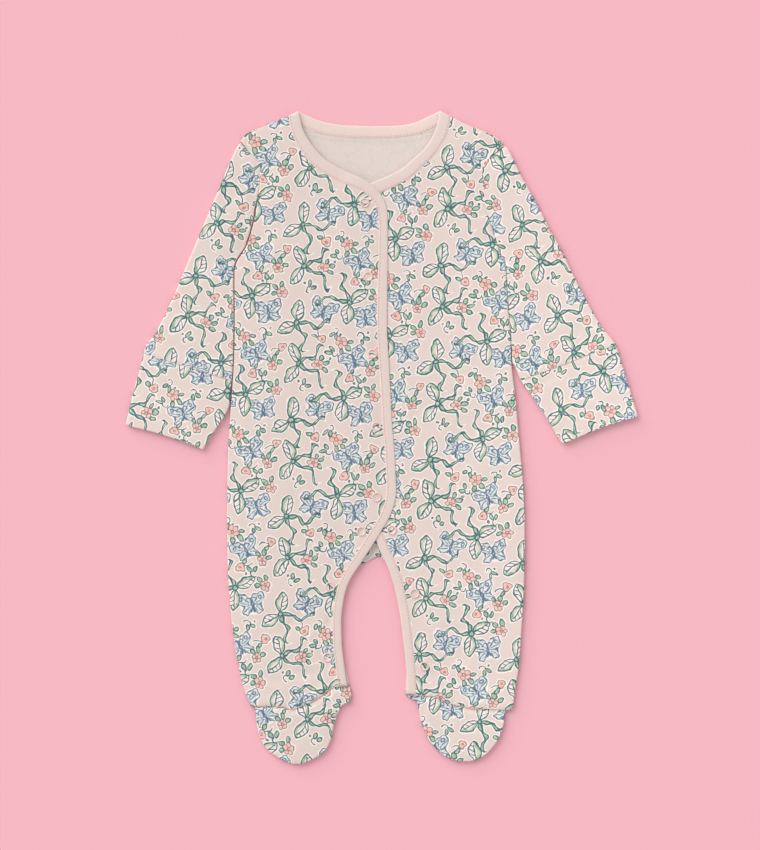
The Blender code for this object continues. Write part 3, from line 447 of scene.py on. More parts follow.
# Where a front's edge reaches under the sleeve's.
LAPPED = {"right": (ARMPIT["right"] + 36, TIP["right"] - 6),
          "left": (LEFT_SLEEVE_LEAVES + 11, TIP["left"] - 6)}
LAP_EASE = 5.0
PRESS_START = 9.4         # how far under the right front the left one begins to rise
PAST_BINDING = 10.0       # how far from the left binding the overlap begins to fall
FALL_REACH = 8.0


def folds(x, y, table):
    """The soft folds' height at points, uneven along their length."""
    total = np.zeros(np.shape(x))
    for k, (x0, y0, x1, y1, half_width, height) in enumerate(table):
        dx, dy = x1 - x0, y1 - y0
        length = math.hypot(dx, dy)
        along = ((x - x0) * dx + (y - y0) * dy) / length
        aside = ((y - y0) * dx - (x - x0) * dy) / length
        aside = aside + 0.12 * length * np.sin(math.pi * along / length) * (1 if k % 2 else -1)
        over = np.maximum(np.maximum(-along, along - length), 0.0)
        strength = 0.8 + 0.35 * np.sin(along / length * 5.0 + k)
        total += height * strength * bump(np.hypot(aside, over), half_width)
    return total


def seam_rise(away):
    """0 at a sewn line, up to 1 away from it."""
    return np.sin(math.pi / 2 * np.minimum(away / SEAM_ROLL, 1.0))


def lift(side, x, y):
    """Underside of a front or a sleeve: low at the sewn lines, level away from them."""
    away = np.minimum(*(distance(x, y, line) for line in SEWN[side]))
    return SEAM_LIFT + (OPEN_LIFT - SEAM_LIFT + folds(x, y, FOLDS)) * seam_rise(away)


def pressed(x, y):
    """1 where the left front is covered by the right one, down to 0 past its free edge."""
    away = distance(x, y, OVER_FREE_EDGE)
    away = np.where(x < OVER_FREE_X(y), -away, away)
    return 1.0 - ease((away + PRESS_START) / PRESS_REACH)


def overlap(x, y):
    """1 where the right front lies on the left one, down to 0 away from it."""
    low, high = UNDER_FREE_EDGE[-1][1], UNDER_FREE_EDGE[0][1]
    on = (low <= y) & (y <= high) & (x >= UNDER_FREE_X(y))
    away = distance(x, y, UNDER_FREE_EDGE)
    return np.where(on, 1.0, 1.0 - ease((away - OVERLAP_FLAT) / OVERLAP_SLOPE))


def front_lift(side, x, y):
    height = lift(side, x, y)
    if side == "left":
        return height - PRESS * pressed(x, y)
    past_binding = ease((x - UNDER_FREE_X(y) - PAST_BINDING) / FALL_REACH)
    return height + (OVERLAP_RISE - OVERLAP_FALL * past_binding) * overlap(x, y)


def rolled(height, away, rest):
    """A height that turns down round a sewn edge to the rest height."""
    t = np.clip(away / EDGE_ROLL, 0.0, 1.0)
    return rest + (height - rest) * np.sqrt(np.clip(1 - (1 - t) ** 2, 0.0, 1.0))


def edge_rest(side, y):
    return smooth_curve(EDGE_RESTS[side])(y)


def lap(side, y):
    """1 where a front's edge reaches under the sleeve's, 0 elsewhere."""
    low, high = LAPPED[side]
    return ease((y - low) / LAP_EASE) * ease((high - y) / LAP_EASE)


# How deep and how far from the seam each piece slopes down to the armhole.
ARMHOLE_SLOPES = {"front_right": (0.5, 10.0), "front_left": (1.0, 10.0),
                  "sleeve_right": (1.0, 8.0), "sleeve_left": (0.6, 8.0)}


def armhole_slope(label, side, x, y):
    """The cloth slopes down to the armhole seam, most at its lower half."""
    depth, reach = ARMHOLE_SLOPES[label]
    along = smooth_curve([(ARMPIT[side] - 12, 0.0), (ARMPIT[side] + 8, 1.0),
                          (TIP[side] - 40, 0.9), (TIP[side] - 4, 0.35)])
    return -depth * along(y) * bump(distance(x, y, ARMHOLE[side]), reach)


CALM = 5.0                # within this of a seam the waves die out
CALM_OUTLINE = 6.0        # and within this of a front's outline


def fine_waves(x, y, seed):
    """The cloth's own small unevenness."""
    return 0.15 * uneven(x, y, 46.0, seed) + 0.06 * uneven(x, y, 17.0, seed + 3)


# Puckers along each kind of seam: their pitch, height, and how far they reach from it.
PUCKERS = {"side": (9.0, 0.14, 6.0), "binding": (6.5, 0.16, 5.0), "strip": (5.2, 0.13, 3.5),
           "leg_end": (6.0, 0.22, 6.0), "wrist": (6.0, 0.15, 5.0), "sleeve": (8.0, 0.13, 6.0),
           "ankle": (6.5, 0.45, 6.0), "foot": (8.0, 0.14, 5.0)}


def puckers(seam, along, away, seed):
    """Small ripples across a seam, dying out away from it."""
    pitch, height, reach = PUCKERS[seam]
    wobble = np.sin(along / pitch * 2.1 + seed) * 1.4
    ripple = np.sin(2 * math.pi * along / pitch + wobble)
    strength = 0.6 + 0.4 * np.sin(along / pitch * 0.83 + 2 * seed)
    return height * ripple * strength * np.exp(-away / reach)


def resting(grid):
    """The lowest layer: it rests on the table between its troughs."""
    return REST + np.clip(folds(grid[..., 0], grid[..., 1], BACK_CREASES), 0.0, 0.5)


def dimples(x, y, places):
    total = np.zeros(np.shape(x))
    for px, py in places:
        total += RING_DIMPLE * bump(np.hypot(x - px, y - py), DIMPLE_REACH)
    return total


# ---- meshes ----

def new_object(name, verts, faces, looks, smooth=True):
    """A mesh. smooth is one value for all its faces, or one for each."""
    data = bpy.data.meshes.new(name)
    data.from_pydata((verts * MM).tolist(), [], faces)
    for look in looks:
        data.materials.append(look)
    data.polygons.foreach_set("use_smooth", np.full(len(faces), smooth))
    item = bpy.data.objects.new(name, data)
    bpy.context.scene.collection.objects.link(item)
    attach(item, "root")
    return item


def stand_for(item, node):
    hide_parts(node)
    return item


def shell(name, patches, thickness, looks, look_at=None):
    """A closed thin shell from patches of outer points and their cloth coordinates.

    Each patch is (points R x C x 3, cloth coordinates R x C x 2), both in millimetres.
    looks is (outside, inside). look_at may choose an inside face's look by its middle.
    """
    points = np.concatenate([p.reshape(-1, 3) for p, _ in patches])
    coords = np.concatenate([c.reshape(-1, 2) for _, c in patches])
    quads = []
    start = 0
    for grid, _ in patches:
        rows, columns = grid.shape[:2]
        index = start + np.arange(rows * columns).reshape(rows, columns)
        quads.append(np.stack([index[:-1, :-1], index[1:, :-1], index[1:, 1:], index[:-1, 1:]],
                              axis=-1).reshape(-1, 4))
        start += rows * columns
    quads = np.concatenate(quads)
    # Points that coincide are joined, and quads that collapse are left out.
    _, first, same = np.unique(np.round(points, 2), axis=0, return_index=True,
                               return_inverse=True)
    outer = points[first]
    faces = same.ravel()[quads]
    whole = np.array([len(set(face)) == 4 for face in faces.tolist()])
    quads, faces = quads[whole], faces[whole]
    a, b, c, d = (outer[faces[:, k]] for k in range(4))
    normal = np.cross(c - a, d - b)
    normals = np.zeros_like(outer)
    for k in range(4):
        np.add.at(normals, faces[:, k], normal)
    inner = outer - unit(normals, 1e-12) * thickness
    # The rim joins both layers along every edge that only one quad has.
    count = len(outer)
    directed, corner = (np.concatenate([ends[:, [k, (k + 1) % 4]] for k in range(4)])
                        for ends in (faces, quads))
    known = set(map(tuple, directed.tolist()))
    rim = [i for i, (p, q) in enumerate(directed.tolist()) if (q, p) not in known]
    p, q = directed[rim].T
    rim_faces = np.stack([q, p, p + count, q + count], axis=-1)
    everything = np.concatenate([faces, faces[:, ::-1] + count, rim_faces])
    layout = np.concatenate([quads, quads[:, ::-1], corner[rim][:, [1, 0, 0, 1]]])
    inside_faces = slice(len(faces), 2 * len(faces))
    smooth = np.arange(len(everything)) < 2 * len(faces)
    item = new_object(name, np.concatenate([outer, inner]), everything.tolist(), looks, smooth)
    uv = item.data.uv_layers.new(name="Cloth")
    uv.data.foreach_set("uv", (coords[layout.ravel()] / TILE).ravel())
    look = np.zeros(len(everything), np.int32)
    look[inside_faces] = 1
    if look_at is not None:
        middle = inner[faces].mean(axis=1)
        look[inside_faces] = np.where(look_at(middle[:, 0], middle[:, 1]), 0, 1)
    item.data.polygons.foreach_set("material_index", look)
    item.data.update()
    return item


def printed_piece(name, points, coords, flipped):
    """A piece of the printed jersey. It stands for the node of its own name."""
    if flipped:
        points, coords = points[:, ::-1], coords[:, ::-1]
    item = shell(name, [(points, coords)], CLOTH, (printed, inside))
    return stand_for(item, name.lower())


def tube_sheet(item, outer, inner):
    """Works out twice the widest row of a tube, in metres, and does nothing with it."""
    round_it = 2 * widths(outer, inner).max() * MM


def evenly(table, step):
    """Heights at which a binding's seam is cut into even steps, and how far along they are."""
    ys = np.linspace(table[0][0], table[-1][0], 4000)
    far = travelled(table_curves(table)[0](ys), ys)
    marks = np.linspace(0, far[-1], int(far[-1] / step) + 1)
    return np.interp(marks, far, ys), marks


def shares(width, both=False, step=STEP):
    """Shares across rows of the given widths, dense at the first end, or at both."""
    near = np.array(EDGE_STEPS)
    scale = np.minimum(1.0, width / ((6.0 if both else 3.5) * near[-1]))
    begin = near[None, :] * scale[:, None] / width[:, None]
    finish = 1 - begin[:, ::-1] if both else np.ones((len(width), 1))
    t = np.linspace(0, 1, max(4, int(np.max(width) / step)) + 1)[1:-1]
    middle = begin[:, -1:] + (finish[:, :1] - begin[:, -1:]) * t[None, :]
    return np.concatenate([begin, middle, finish], axis=1)


def across(outer, inner, share):
    """Points at shares between the two ends of each row."""
    return outer[:, None, :] + (inner - outer)[:, None, :] * share[..., None]


# ---- panels ----

BACK_ROWS = 147
BACK_COLUMNS = 34
TOP_ROW = {"front": 6.0, "back": 4.0}  # how far below the shoulder's top their rows start
ANKLE_END = (0.93, 0.96, 0.98, 0.99, 1.0)  # closer rows at the ankle seam
COVERED_TOP = NECK_LEVEL + 3.0  # above it the back reaches only into the neck binding
UNDER_BACK_BINDING = 2.0  # how far it does
BINDING_REACH = {"neck": 15.5, "leg": 12.1}  # distance within which a binding lifts the back
BINDING_EASE = 3.0
BINDING_SUNK = 0.1        # how much lower than its panel a front's binding lies
BINDING_LOWEST = 1.8      # and the least height of its underside
LAYER_GAP = 0.1           # between the back and a binding round its edge
TUCK_GAP = 0.05           # between a front and the binding round its edge
PRINTED_BELOW = -93.0     # below this the inside of the back shows as printed cloth
PRINTED_HALF = 26.0
INSIDE_BINDING = 9.4      # width over which a front is tucked into its binding
TUCK_EASE = 1.2
CALM_FOLDS = 4.0          # within this of a front's outline its creases die out
HEM_BULGE = 4.5           # how far above the ankle seam a leg's hem bulges
HEM_BREADTH = 3.2
GROOVE = 0.25             # how deep the ankle seam itself draws the cloth in
GROOVE_REACH = 0.9


def cloth_coords(x, y, turn, shift):
    """Where points of a piece lie on the printed cloth."""
    c, s = math.cos(math.radians(turn)), math.sin(math.radians(turn))
    return xy(x * c + y * s + shift[0], y * c - x * s + shift[1])


def unrolled(points):
    """The cloth's points in the plane, with its turned-down edges laid flat as well."""
    flat = points[..., :2].copy()
    for axis in (0, 1):
        step = np.diff(points, axis=axis)
        hidden = np.linalg.norm(step, axis=-1) - np.hypot(step[..., 0], step[..., 1])
        total = np.insert(np.cumsum(hidden, axis=axis), 0, 0.0, axis=axis)
        total = total - np.take(total, [points.shape[axis] // 2], axis=axis)
        chord = np.take(points, [-1], axis=axis) - np.take(points, [0], axis=axis)
        flat += unit(chord[..., :2]) * total[..., None]
    return flat[..., 0], flat[..., 1]


def ankle_rows(side, inner_end):
    """The slanted rows from the last leg level to the ankle seam."""
    t = np.concatenate([np.linspace(0, 0.9, 15)[1:], ANKLE_END])
    return LEG_END + (BOTTOM[side] - LEG_END) * t, LEG_END + (inner_end - LEG_END) * t, t * t


def front_grid(side):
    """Flat points of a front, from its outline to inside its binding."""
    table = FRONT_BINDING[side]
    seam, free_x, free_y = table_curves(table)
    levels = np.arange(TOP[side] - TOP_ROW["front"], LEG_END - 0.1, -STEP)
    extra_outer, extra_inner, curved = ankle_rows(side, table[-1][0])
    outer_y = np.concatenate([levels, extra_outer])
    inner_y = np.concatenate([levels, extra_inner])
    follow = np.concatenate([np.zeros(len(levels)), curved])
    outer_x = body_edge(side, outer_y) + OUTWARD[side] * LAP * lap(side, outer_y)
    outer = xy(outer_x, outer_y)
    seam_point = xy(seam(inner_y), inner_y)
    inner = seam_point + (xy(free_x(inner_y), free_y(inner_y)) - seam_point) * TUCK
    grid = across(outer, inner, shares(widths(inner, outer)))
    ankle = FRONT_ANKLE[side](grid[-1, :, 0]) - grid[-1, :, 1]
    grid[..., 1] += follow[:, None] * ankle[None, :]
    return grid


def binding_under(side, x, y):
    """Underside of a front's binding."""
    return np.maximum(front_lift(side, x, y) - BINDING_SUNK, BINDING_LOWEST)


def front_surface(side, grid):
    x, y = grid[..., 0], grid[..., 1]
    label, table = f"front_{side}", FRONT_BINDING[side]
    seed = SEED[label]
    ys = evenly(table, 4.0)[0]
    seam, free_x, free_y = (curve(ys) for curve in table_curves(table))
    beyond = OUTWARD[side] * (x - body_edge(side, y)) > 0
    to_edge = np.where(beyond, 0.0, distance(x, y, OUTLINE[side]))
    to_seam = distance(x, y, list(zip(seam, ys)))
    to_ankle = np.abs(y - FRONT_ANKLE[side](x))
    z = front_lift(side, x, y) + WALL
    calm = ease(to_edge / CALM_OUTLINE) * ease(to_seam / CALM)
    z = z + fine_waves(x, y, seed) * calm
    z = z + folds(x, y, CREASES[label]) * ease(to_edge / CALM_FOLDS)
    z = z + puckers("side", y, to_edge, seed) * (y < ARMPIT[side])
    z = z + puckers("binding", y - 0.6 * x, to_seam, seed + 1)
    z = z + puckers("leg_end", x, to_ankle, seed + 2) * ease(to_ankle / 1.5)
    z = z + dimples(x, y, (FRONT_SNAPS if side == "right" else ()) + LEG_SNAPS[side])
    z = z + armhole_slope(label, side, x, y)
    tucked = binding_under(side, x, y) + BINDING_CLOTH + TUCK_GAP + CLOTH
    inside_free = distance(x, y, list(zip(free_x, free_y)))
    z = z + (tucked - z) * ease((INSIDE_BINDING - inside_free) / TUCK_EASE)
    z = rolled(z, to_edge, edge_rest(side, y) - LAP_DROP * lap(side, y))
    hem_lip = 0.55 + 0.35 * np.sin(x / 5.3 + seed) + 0.2 * np.sin(x / 2.9 + 2 * seed)
    z = z + hem_lip * bump(to_ankle - HEM_BULGE, HEM_BREADTH) * ease(to_edge / 3.0)
    return z - GROOVE * bump(to_ankle, GROOVE_REACH)


def front(side):
    grid = front_grid(side)
    points = raised(grid, front_surface(side, grid))
    coords = cloth_coords(*unrolled(points), GRAIN, PRINT_SHIFT[f"front_{side}"])
    printed_piece(f"Front_{side}", points, coords, side == "left")


def back_half_grid(side):
    neck, crotch, leg = BACK_NECK[side], CROTCH[side], BACK_LEG[side]
    inset = -OUTWARD[side] * UNDER_BACK_BINDING
    top = np.arange(TOP[side] - TOP_ROW["back"], COVERED_TOP + 1.0, -STEP)
    body = np.linspace(COVERED_TOP, CROTCH_LEVEL, BACK_ROWS)
    low = np.linspace(CROTCH_LEVEL - 0.8, leg[0][0], 7)
    legs = np.arange(leg[0][0] - STEP, LEG_END - 0.1, -STEP)
    extra_outer, extra_inner, _ = ankle_rows(side, leg[-1][0])
    outer_y = np.concatenate([top, body, low, legs, extra_outer])
    inner_y = np.concatenate([top, body, low, legs, extra_inner])
    leg_x = table_curves(leg)[0]
    inner_x = np.concatenate([table_curves(neck)[0](top) + inset, smooth_curve(MIDDLE)(body),
                              smooth_curve(crotch)(low), leg_x(legs) + inset,
                              leg_x(extra_inner) + inset])
    outer_x = body_edge(side, outer_y) - OUTWARD[side] * EDGE_INSET
    share = np.tile(np.linspace(0, 1, BACK_COLUMNS), (len(outer_y), 1))
    return across(xy(outer_x, outer_y), xy(inner_x, inner_y), share)


def back():
    patches = []
    for side in SIDE:
        grid = back_half_grid(side)
        x, y = grid[..., 0], grid[..., 1]
        z = resting(grid)
        for table, reach in ((BACK_NECK, "neck"), (BACK_LEG, "leg")):
            away = distance(x, y, [row[2:] for row in table[side]])
            under = ease((BINDING_REACH[reach] - away) / BINDING_EASE)
            z = z + (BINDING_CLOTH + LAYER_GAP) * under
        points, coords = raised(grid, z), cloth_coords(-x, y, -GRAIN, PRINT_SHIFT["back"])
        if side == "right":
            points, coords = points[:, ::-1], coords[:, ::-1]
        patches.append((points, coords))
    item = shell("Back", patches, CLOTH, (printed, inside),
                 lambda x, y: (y < PRINTED_BELOW) & (np.abs(x + 4) < PRINTED_HALF))
    stand_for(item, "back_panel")


# ---- bindings ----

# Cross-section of a folded strip: share of its width from seam to free edge, and height as a
# share of its wall where it lies on another layer and where it lies free, from the top
# layer's sewn edge round the fold to the bottom layer's.
STRIP = ((0.0, 0.66, 0.66), (0.03, 0.86, 0.86), (0.08, 1.0, 1.0), (0.14, 0.97, 0.97),
         (0.19, 0.95, 0.95), (0.25, 1.0, 1.0), (0.4, 1.01, 1.02), (0.6, 0.99, 1.01),
         (0.8, 0.97, 0.99), (0.92, 0.93, 0.94), (0.98, 0.84, 0.78), (1.0, 0.69, 0.5),
         (0.97, 0.55, 0.2), (0.9, 0.46, 0.05), (0.78, 0.42, 0.0), (0.5, 0.2, 0.0),
         (0.25, 0.0, 0.0), (0.05, 0.0, 0.0))
STRIP_TOP = 11            # points of it before the fold
STRIP_STEP = 2.4
STRIP_WIDTH = 9.0
LIES_ON_FRONT = (-108.0, 240.0)  # between these heights the right binding lies on the left front
LIES_EASE = 12.0


def strip(table, height, seed, on_front=False):
    """A folded binding: its points, outside first, cloth coordinates and line of stitching."""
    ys, marks = evenly(table, STRIP_STEP)
    seam, free_x, free_y = (curve(ys) for curve in table_curves(table))
    share, over, rise = np.array(STRIP).T
    over, rise = over * BINDING_WALL, rise * BINDING_WALL
    flat = across(xy(seam, ys), xy(free_x, free_y), np.tile(share, (len(ys), 1)))
    x, y = flat[..., 0], flat[..., 1]
    z = height(x, y) + rise[None, :]
    if on_front:
        low, high = LIES_ON_FRONT
        lies = ease((high - y) / LIES_EASE) * ease((y - low) / LIES_EASE)
        z = z + (over - rise)[None, :] * lies
    along = np.tile(marks[:, None], (1, len(share)))
    top = (np.arange(len(share)) < STRIP_TOP)[None, :]
    sewn = np.abs(share - STITCH_LINE)[None, :] * STRIP_WIDTH
    z = z + np.where(top, puckers("strip", along, sewn, seed), 0.0)
    z = z + np.where(top, 0.07 * uneven(x, y, 21.0, seed), 0.0)
    points = raised(flat, z)
    girth = np.insert(np.cumsum(np.hypot(np.diff(share) * STRIP_WIDTH, np.diff(rise))), 0, 0)
    coords = xy(np.tile(girth, (len(ys), 1)), along)
    line = points[:, 3] * 0.4 + points[:, 4] * 0.6  # at STITCH_LINE of the width
    return points, coords, line


def binding(label, points, coords, line, under, flipped, look):
    """A strip as a piece. It stands for the node of its own name, and is topstitched."""
    if flipped:
        points, coords = points[:, ::-1], coords[:, ::-1]
    item = shell(f"Binding_{label}", [(points, coords)], BINDING_CLOTH, (look, look))
    stand_for(item, f"binding_{label}")
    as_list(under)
    return label, line


def on_table(x, y):
    return np.full(np.shape(x), REST)


def bindings():
    """Makes them all, and gives their lines of stitching."""
    lines = []
    for side, seed in (("right", 0.7), ("left", 2.9)):
        made = strip(FRONT_BINDING[side], functools.partial(binding_under, side), seed,
                     side == "right")
        lines.append(binding(f"front_{side}", *made, [f"Front_{side}"], side == "left", plain))
    right, right_coords, right_line = strip(BACK_NECK["right"], on_table, 5.1)
    left, left_coords, left_line = strip(BACK_NECK["left"], on_table, 6.3)
    left_coords[..., 1] = right_coords[-1, 0, 1] + left_coords[-1, 0, 1] - left_coords[..., 1]
    both = (np.concatenate([a, b[-2::-1]]) for a, b in
            ((right, left), (right_coords, left_coords), (right_line, left_line)))
    # The back neck binding takes the copy of the plain jersey that is painted lighter, as painted
    # light.
    lines.append(binding("back_neck", *both, ["Back"], False, plain_neck_painted_lighter))
    for side, seed in (("right", 8.2), ("left", 9.1)):
        made = strip(BACK_LEG[side], on_table, seed)
        lines.append(binding(f"back_leg_{side}", *made, ["Back"], side == "left", plain))
    return lines


# ---- sleeves, cuffs and feet ----

FOLD_REACH = 1.9          # width of the rolled fold on the outer side of a tube
FOLD_MOST = 0.3           # and the most of a narrow row that it takes up
FOLD_STEPS = 8
TUBE_STEP = STEP + 0.3
TUBE_UNDER = 22           # columns of a tube's underside
CUFF_BOW = 1.9            # how far the middle of a cuff's hem is drawn in
HEM_SHORT = 0.9           # how far the rolled edge starts before the cuff's end
HEM_SPACING = 0.08        # least distance between the rows before it
# Its rows: how far each moves on, its share of the thickness, and how far it is drawn in.
HEM_ROWS = ((0.5, 0.88, 0.3), (0.7, 0.55, 0.8), (0.2, 0.28, 1.4), (-5.0, 0.22, 2.2))
HEM_EASE = 10.0           # distance from the hem's middle within which it is drawn in less
HEM_BACK = 12             # rows over which the cloth's direction at the hem is taken
MIRROR_REACH = 25.0       # over this width the underside's print settles into its own place
FOOT_STEP = 2.4
FOOT_CORNER_ROWS = 4      # the inner corner of a foot is straight-sided up to this row
# Where rows lie closer: above a sleeve's end, and as row numbers of a cuff and a foot.
SLEEVE_END = (3.2, 2.2, 1.4, 0.8, 0.4, 0.0)
CUFF_START = (0, 0.05, 0.1, 0.18, 0.27)
FOOT_START = (0, 0.06, 0.13, 0.22, 0.33, 0.5, 0.75)
FOOT_END = (0.75, 0.5, 0.3, 0.16, 0.07, 0.0)


def tube_surface(side, outer, inner, top_extra, rest):
    """Outer points round a flattened tube, from its sewn inner edge over the top and back."""
    width = widths(outer, inner)
    reach = np.minimum(FOLD_REACH, width * FOLD_MOST)
    flat_end = 1 - reach / width
    share = shares(width * flat_end, step=TUBE_STEP) * flat_end[:, None]
    top = across(inner, outer, share)
    away = share * width[:, None]
    z = lift(side, top[..., 0], top[..., 1]) + WALL
    z = z + top_extra(top[..., 0], top[..., 1], away)
    z = rolled(z, away, rest[:, None])
    crown = z[:, -1:]
    angles = math.pi / 2 - math.pi * np.arange(1, FOLD_STEPS + 1) / FOLD_STEPS
    fold_share = 1 - reach[:, None] * (1 - np.cos(angles)[None, :]) / width[:, None]
    fold_z = REST + (crown - REST) / 2 * (1 + np.sin(angles)[None, :])
    inset = (EDGE_INSET / width)[:, None]
    under_share = np.linspace(1, 0, TUBE_UNDER)[None, 1:] * (flat_end[:, None] - inset) + inset
    under = across(inner, outer, under_share)
    flat = np.concatenate([top, across(inner, outer, fold_share), under], axis=1)
    z = np.concatenate([z, fold_z, resting(under)], axis=1)
    share = np.concatenate([share, fold_share, under_share], axis=1)
    turn = top.shape[1] + FOLD_STEPS // 2
    return flat, z, np.concatenate([share[:, :turn], 2 - share[:, turn:]], axis=1)


def tube_coords(label, outer, inner, folded, points):
    """Cloth coordinates of a tube, its underside mirrored past the outer edge."""
    outward = (outer - inner) / widths(outer, inner)[:, None]
    step = np.linalg.norm(np.diff(points, axis=1), axis=-1)
    along = np.insert(np.cumsum(step, axis=1), 0, 0.0, axis=1)
    turns = along[:, [np.argmax(folded[0] >= 1)]]
    past = np.maximum(along - turns, 0.0)
    edge = inner + outward * turns
    line = outer[-1] - outer[0]
    normal = np.array([line[1], -line[0]]) / np.hypot(*line)
    back_again = 2 * (outward @ normal)[:, None] * normal - outward
    astray = 2 * ((edge - edge.mean(axis=0)) @ normal)[:, None] * normal
    flat = inner[:, None] + outward[:, None] * np.minimum(along, turns)[..., None]
    flat = flat + back_again[:, None] * past[..., None]
    flat = flat - astray[:, None] * ease(past / MIRROR_REACH)[..., None]
    return cloth_coords(flat[..., 0], flat[..., 1], TURN[label], PRINT_SHIFT[label])


def hem(points, coords, forward):
    """Turns the last row of a tube in, as a doubled edge."""
    forward = np.append(forward, 0.0)
    last = points[-1] - forward * HEM_SHORT
    spacing = HEM_SPACING * np.arange(len(points) - 1, 0, -1)[:, None]
    ahead = (points[:-1] - last) @ forward + spacing
    rows = [points[:-1] - np.maximum(ahead, 0.0)[..., None] * forward, last[None]]
    middle = (last[:, 2].max() + REST) / 2
    centre = last[:, :2].mean(axis=0)
    toward = centre - last[:, :2]
    reach = np.linalg.norm(toward, axis=1, keepdims=True)
    extra = [coords]
    onward = unit(coords[-1] - coords[-HEM_BACK])
    for move, squeeze, inset in HEM_ROWS:
        row = last + forward * move
        row[:, 2] = middle + (last[:, 2] - middle) * squeeze
        row[:, :2] += unit(toward) * inset * np.clip(reach / HEM_EASE, 0, 1)
        arc = np.linalg.norm(row - rows[-1][-1], axis=-1, keepdims=True)
        rows.append(row[None])
        extra.append((extra[-1][-1] + onward * arc)[None])
    return np.concatenate(rows), np.concatenate(extra)


def tube_relief(label, wrist, x, y, away):
    """What waves, creases and puckers add to a tube's top, and how far the wrist seam is."""
    to_wrist = distance(x, y, wrist)
    z = fine_waves(x, y, SEED[label]) * ease(away / CALM) + folds(x, y, CREASES[label])
    return z + puckers("wrist", x, to_wrist, SEED[label]), to_wrist


def sleeve(side):
    table, label = SLEEVE[side], f"sleeve_{side}"
    right = side == "right"
    last = table[-1][0]
    ys = np.concatenate([np.arange(table[0][0], last + 4.0, -STEP), last + np.array(SLEEVE_END)])
    gap = np.where(ys > ARMPIT[side], SEAM_GAP, BODY_GAP)
    if right:
        gap = gap + smooth_curve(RIGHT_GAPE)(ys)
    inner_x = body_edge(side, ys) + OUTWARD[side] * gap
    if not right:
        t = np.clip((LEFT_SLEEVE_LEAVES - ys) / (LEFT_SLEEVE_LEAVES - last), 0, 1)
        inner_x = inner_x + (LEFT_SLEEVE_END - inner_x) * t
    outer, inner = xy(*(curve(ys) for curve in table_curves(table))), xy(inner_x, ys)

    def extra(x, y, away):
        z, to_wrist = tube_relief(label, [inner[-1], outer[-1]], x, y, away)
        z = z + puckers("sleeve", y, away, SEED[label])
        z = z + 0.2 * bump(to_wrist - 3.0, 2.2)  # a low ridge beside the wrist seam
        z = z + armhole_slope(label, side, x, y)
        # It dips where it meets the tip of the shoulder.
        return z - 0.7 * bump(distance(x, y, [inner[0], outer[0]]), 2.0)

    flat, z, folded = tube_surface(side, outer, inner, extra, edge_rest(side, ys))
    points = raised(flat, z)
    coords = tube_coords(label, outer, inner, folded, points)
    tube_sheet(printed_piece(f"Sleeve_{side}", points, coords, right), outer, inner)
    line = points[-1, 6:flat.shape[1] // 2 - 2] - (0, 0, THREAD_SUNK)
    seams = [(f"cuff_{side}", line, THIN_THREAD)]
    if right:
        rows = (ys > last + 3) & (ys < TIP[side] - 12)
        seams.append((f"armhole_{side}", points[rows, 2], THIN_THREAD))
    return seams


def table_rows(table, t):
    """A table's columns at row numbers between its rows."""
    return [curve(t) for curve in table_curves([(i,) + row for i, row in enumerate(table)])]


def cuff(side):
    """A cuff, whose first rows reach under the sleeve's end."""
    table, label = CUFF[side], f"cuff_{side}"
    last = len(table) - 1
    t = np.concatenate([CUFF_START, np.linspace(0.4, last, 40)])
    ox, oy, ix, iy = table_rows(table, t)
    outer, inner = xy(ox, oy), xy(ix, iy)

    def extra(x, y, away):
        z, to_wrist = tube_relief(label, [inner[0], outer[0]], x, y, away)
        return z - 0.1 * bump(to_wrist, 4.0)

    flat, z, folded = tube_surface(side, outer, inner, extra, np.full(len(t), EDGE_REST))
    back_up = (outer[0] + inner[0]) - (outer[-1] + inner[-1])
    back_up /= np.linalg.norm(back_up)
    share = np.where(folded < 1, folded, 2 - folded)
    bow = CUFF_BOW * 4 * share * (1 - share) * (t / last)[:, None] ** 2
    on_top = ease(z - 1.0)
    under = np.clip(1 - t / 0.1, 0, 1)[:, None] * on_top
    flat = flat + (bow + (SEAM_GAP + HEM_LAP) * under)[..., None] * back_up
    points = raised(flat, z - 0.3 * np.clip(1 - t / 0.18, 0, 1)[:, None] * on_top)
    coords = tube_coords(label, outer, inner, folded, points)
    points, coords = hem(points, coords, -back_up)
    tube_sheet(printed_piece(f"Cuff_{side}", points, coords, side == "right"), outer, inner)


def foot_rows(table, t):
    ox, oy, ix, iy, follows = table_rows(table, t)
    ends = np.array(table)
    straight_x, straight_y = (np.interp(t, np.arange(len(table)), ends[:, k]) for k in (2, 3))
    corner = t < FOOT_CORNER_ROWS
    inner = xy(np.where(corner, straight_x, ix), np.where(corner, straight_y, iy))
    return xy(ox, oy), inner, follows


def foot_flat(table, t, share, ankle):
    outer, inner, follows = foot_rows(table, t)
    grid = across(outer, inner, share)
    x0, y0, x1, y1 = table[0][:4]
    first_x, first_y = x0 + (x1 - x0) * share, y0 + (y1 - y0) * share
    grid[..., 1] += follows[:, None] * (ankle(first_x) - SEAM_GAP - first_y)
    return grid


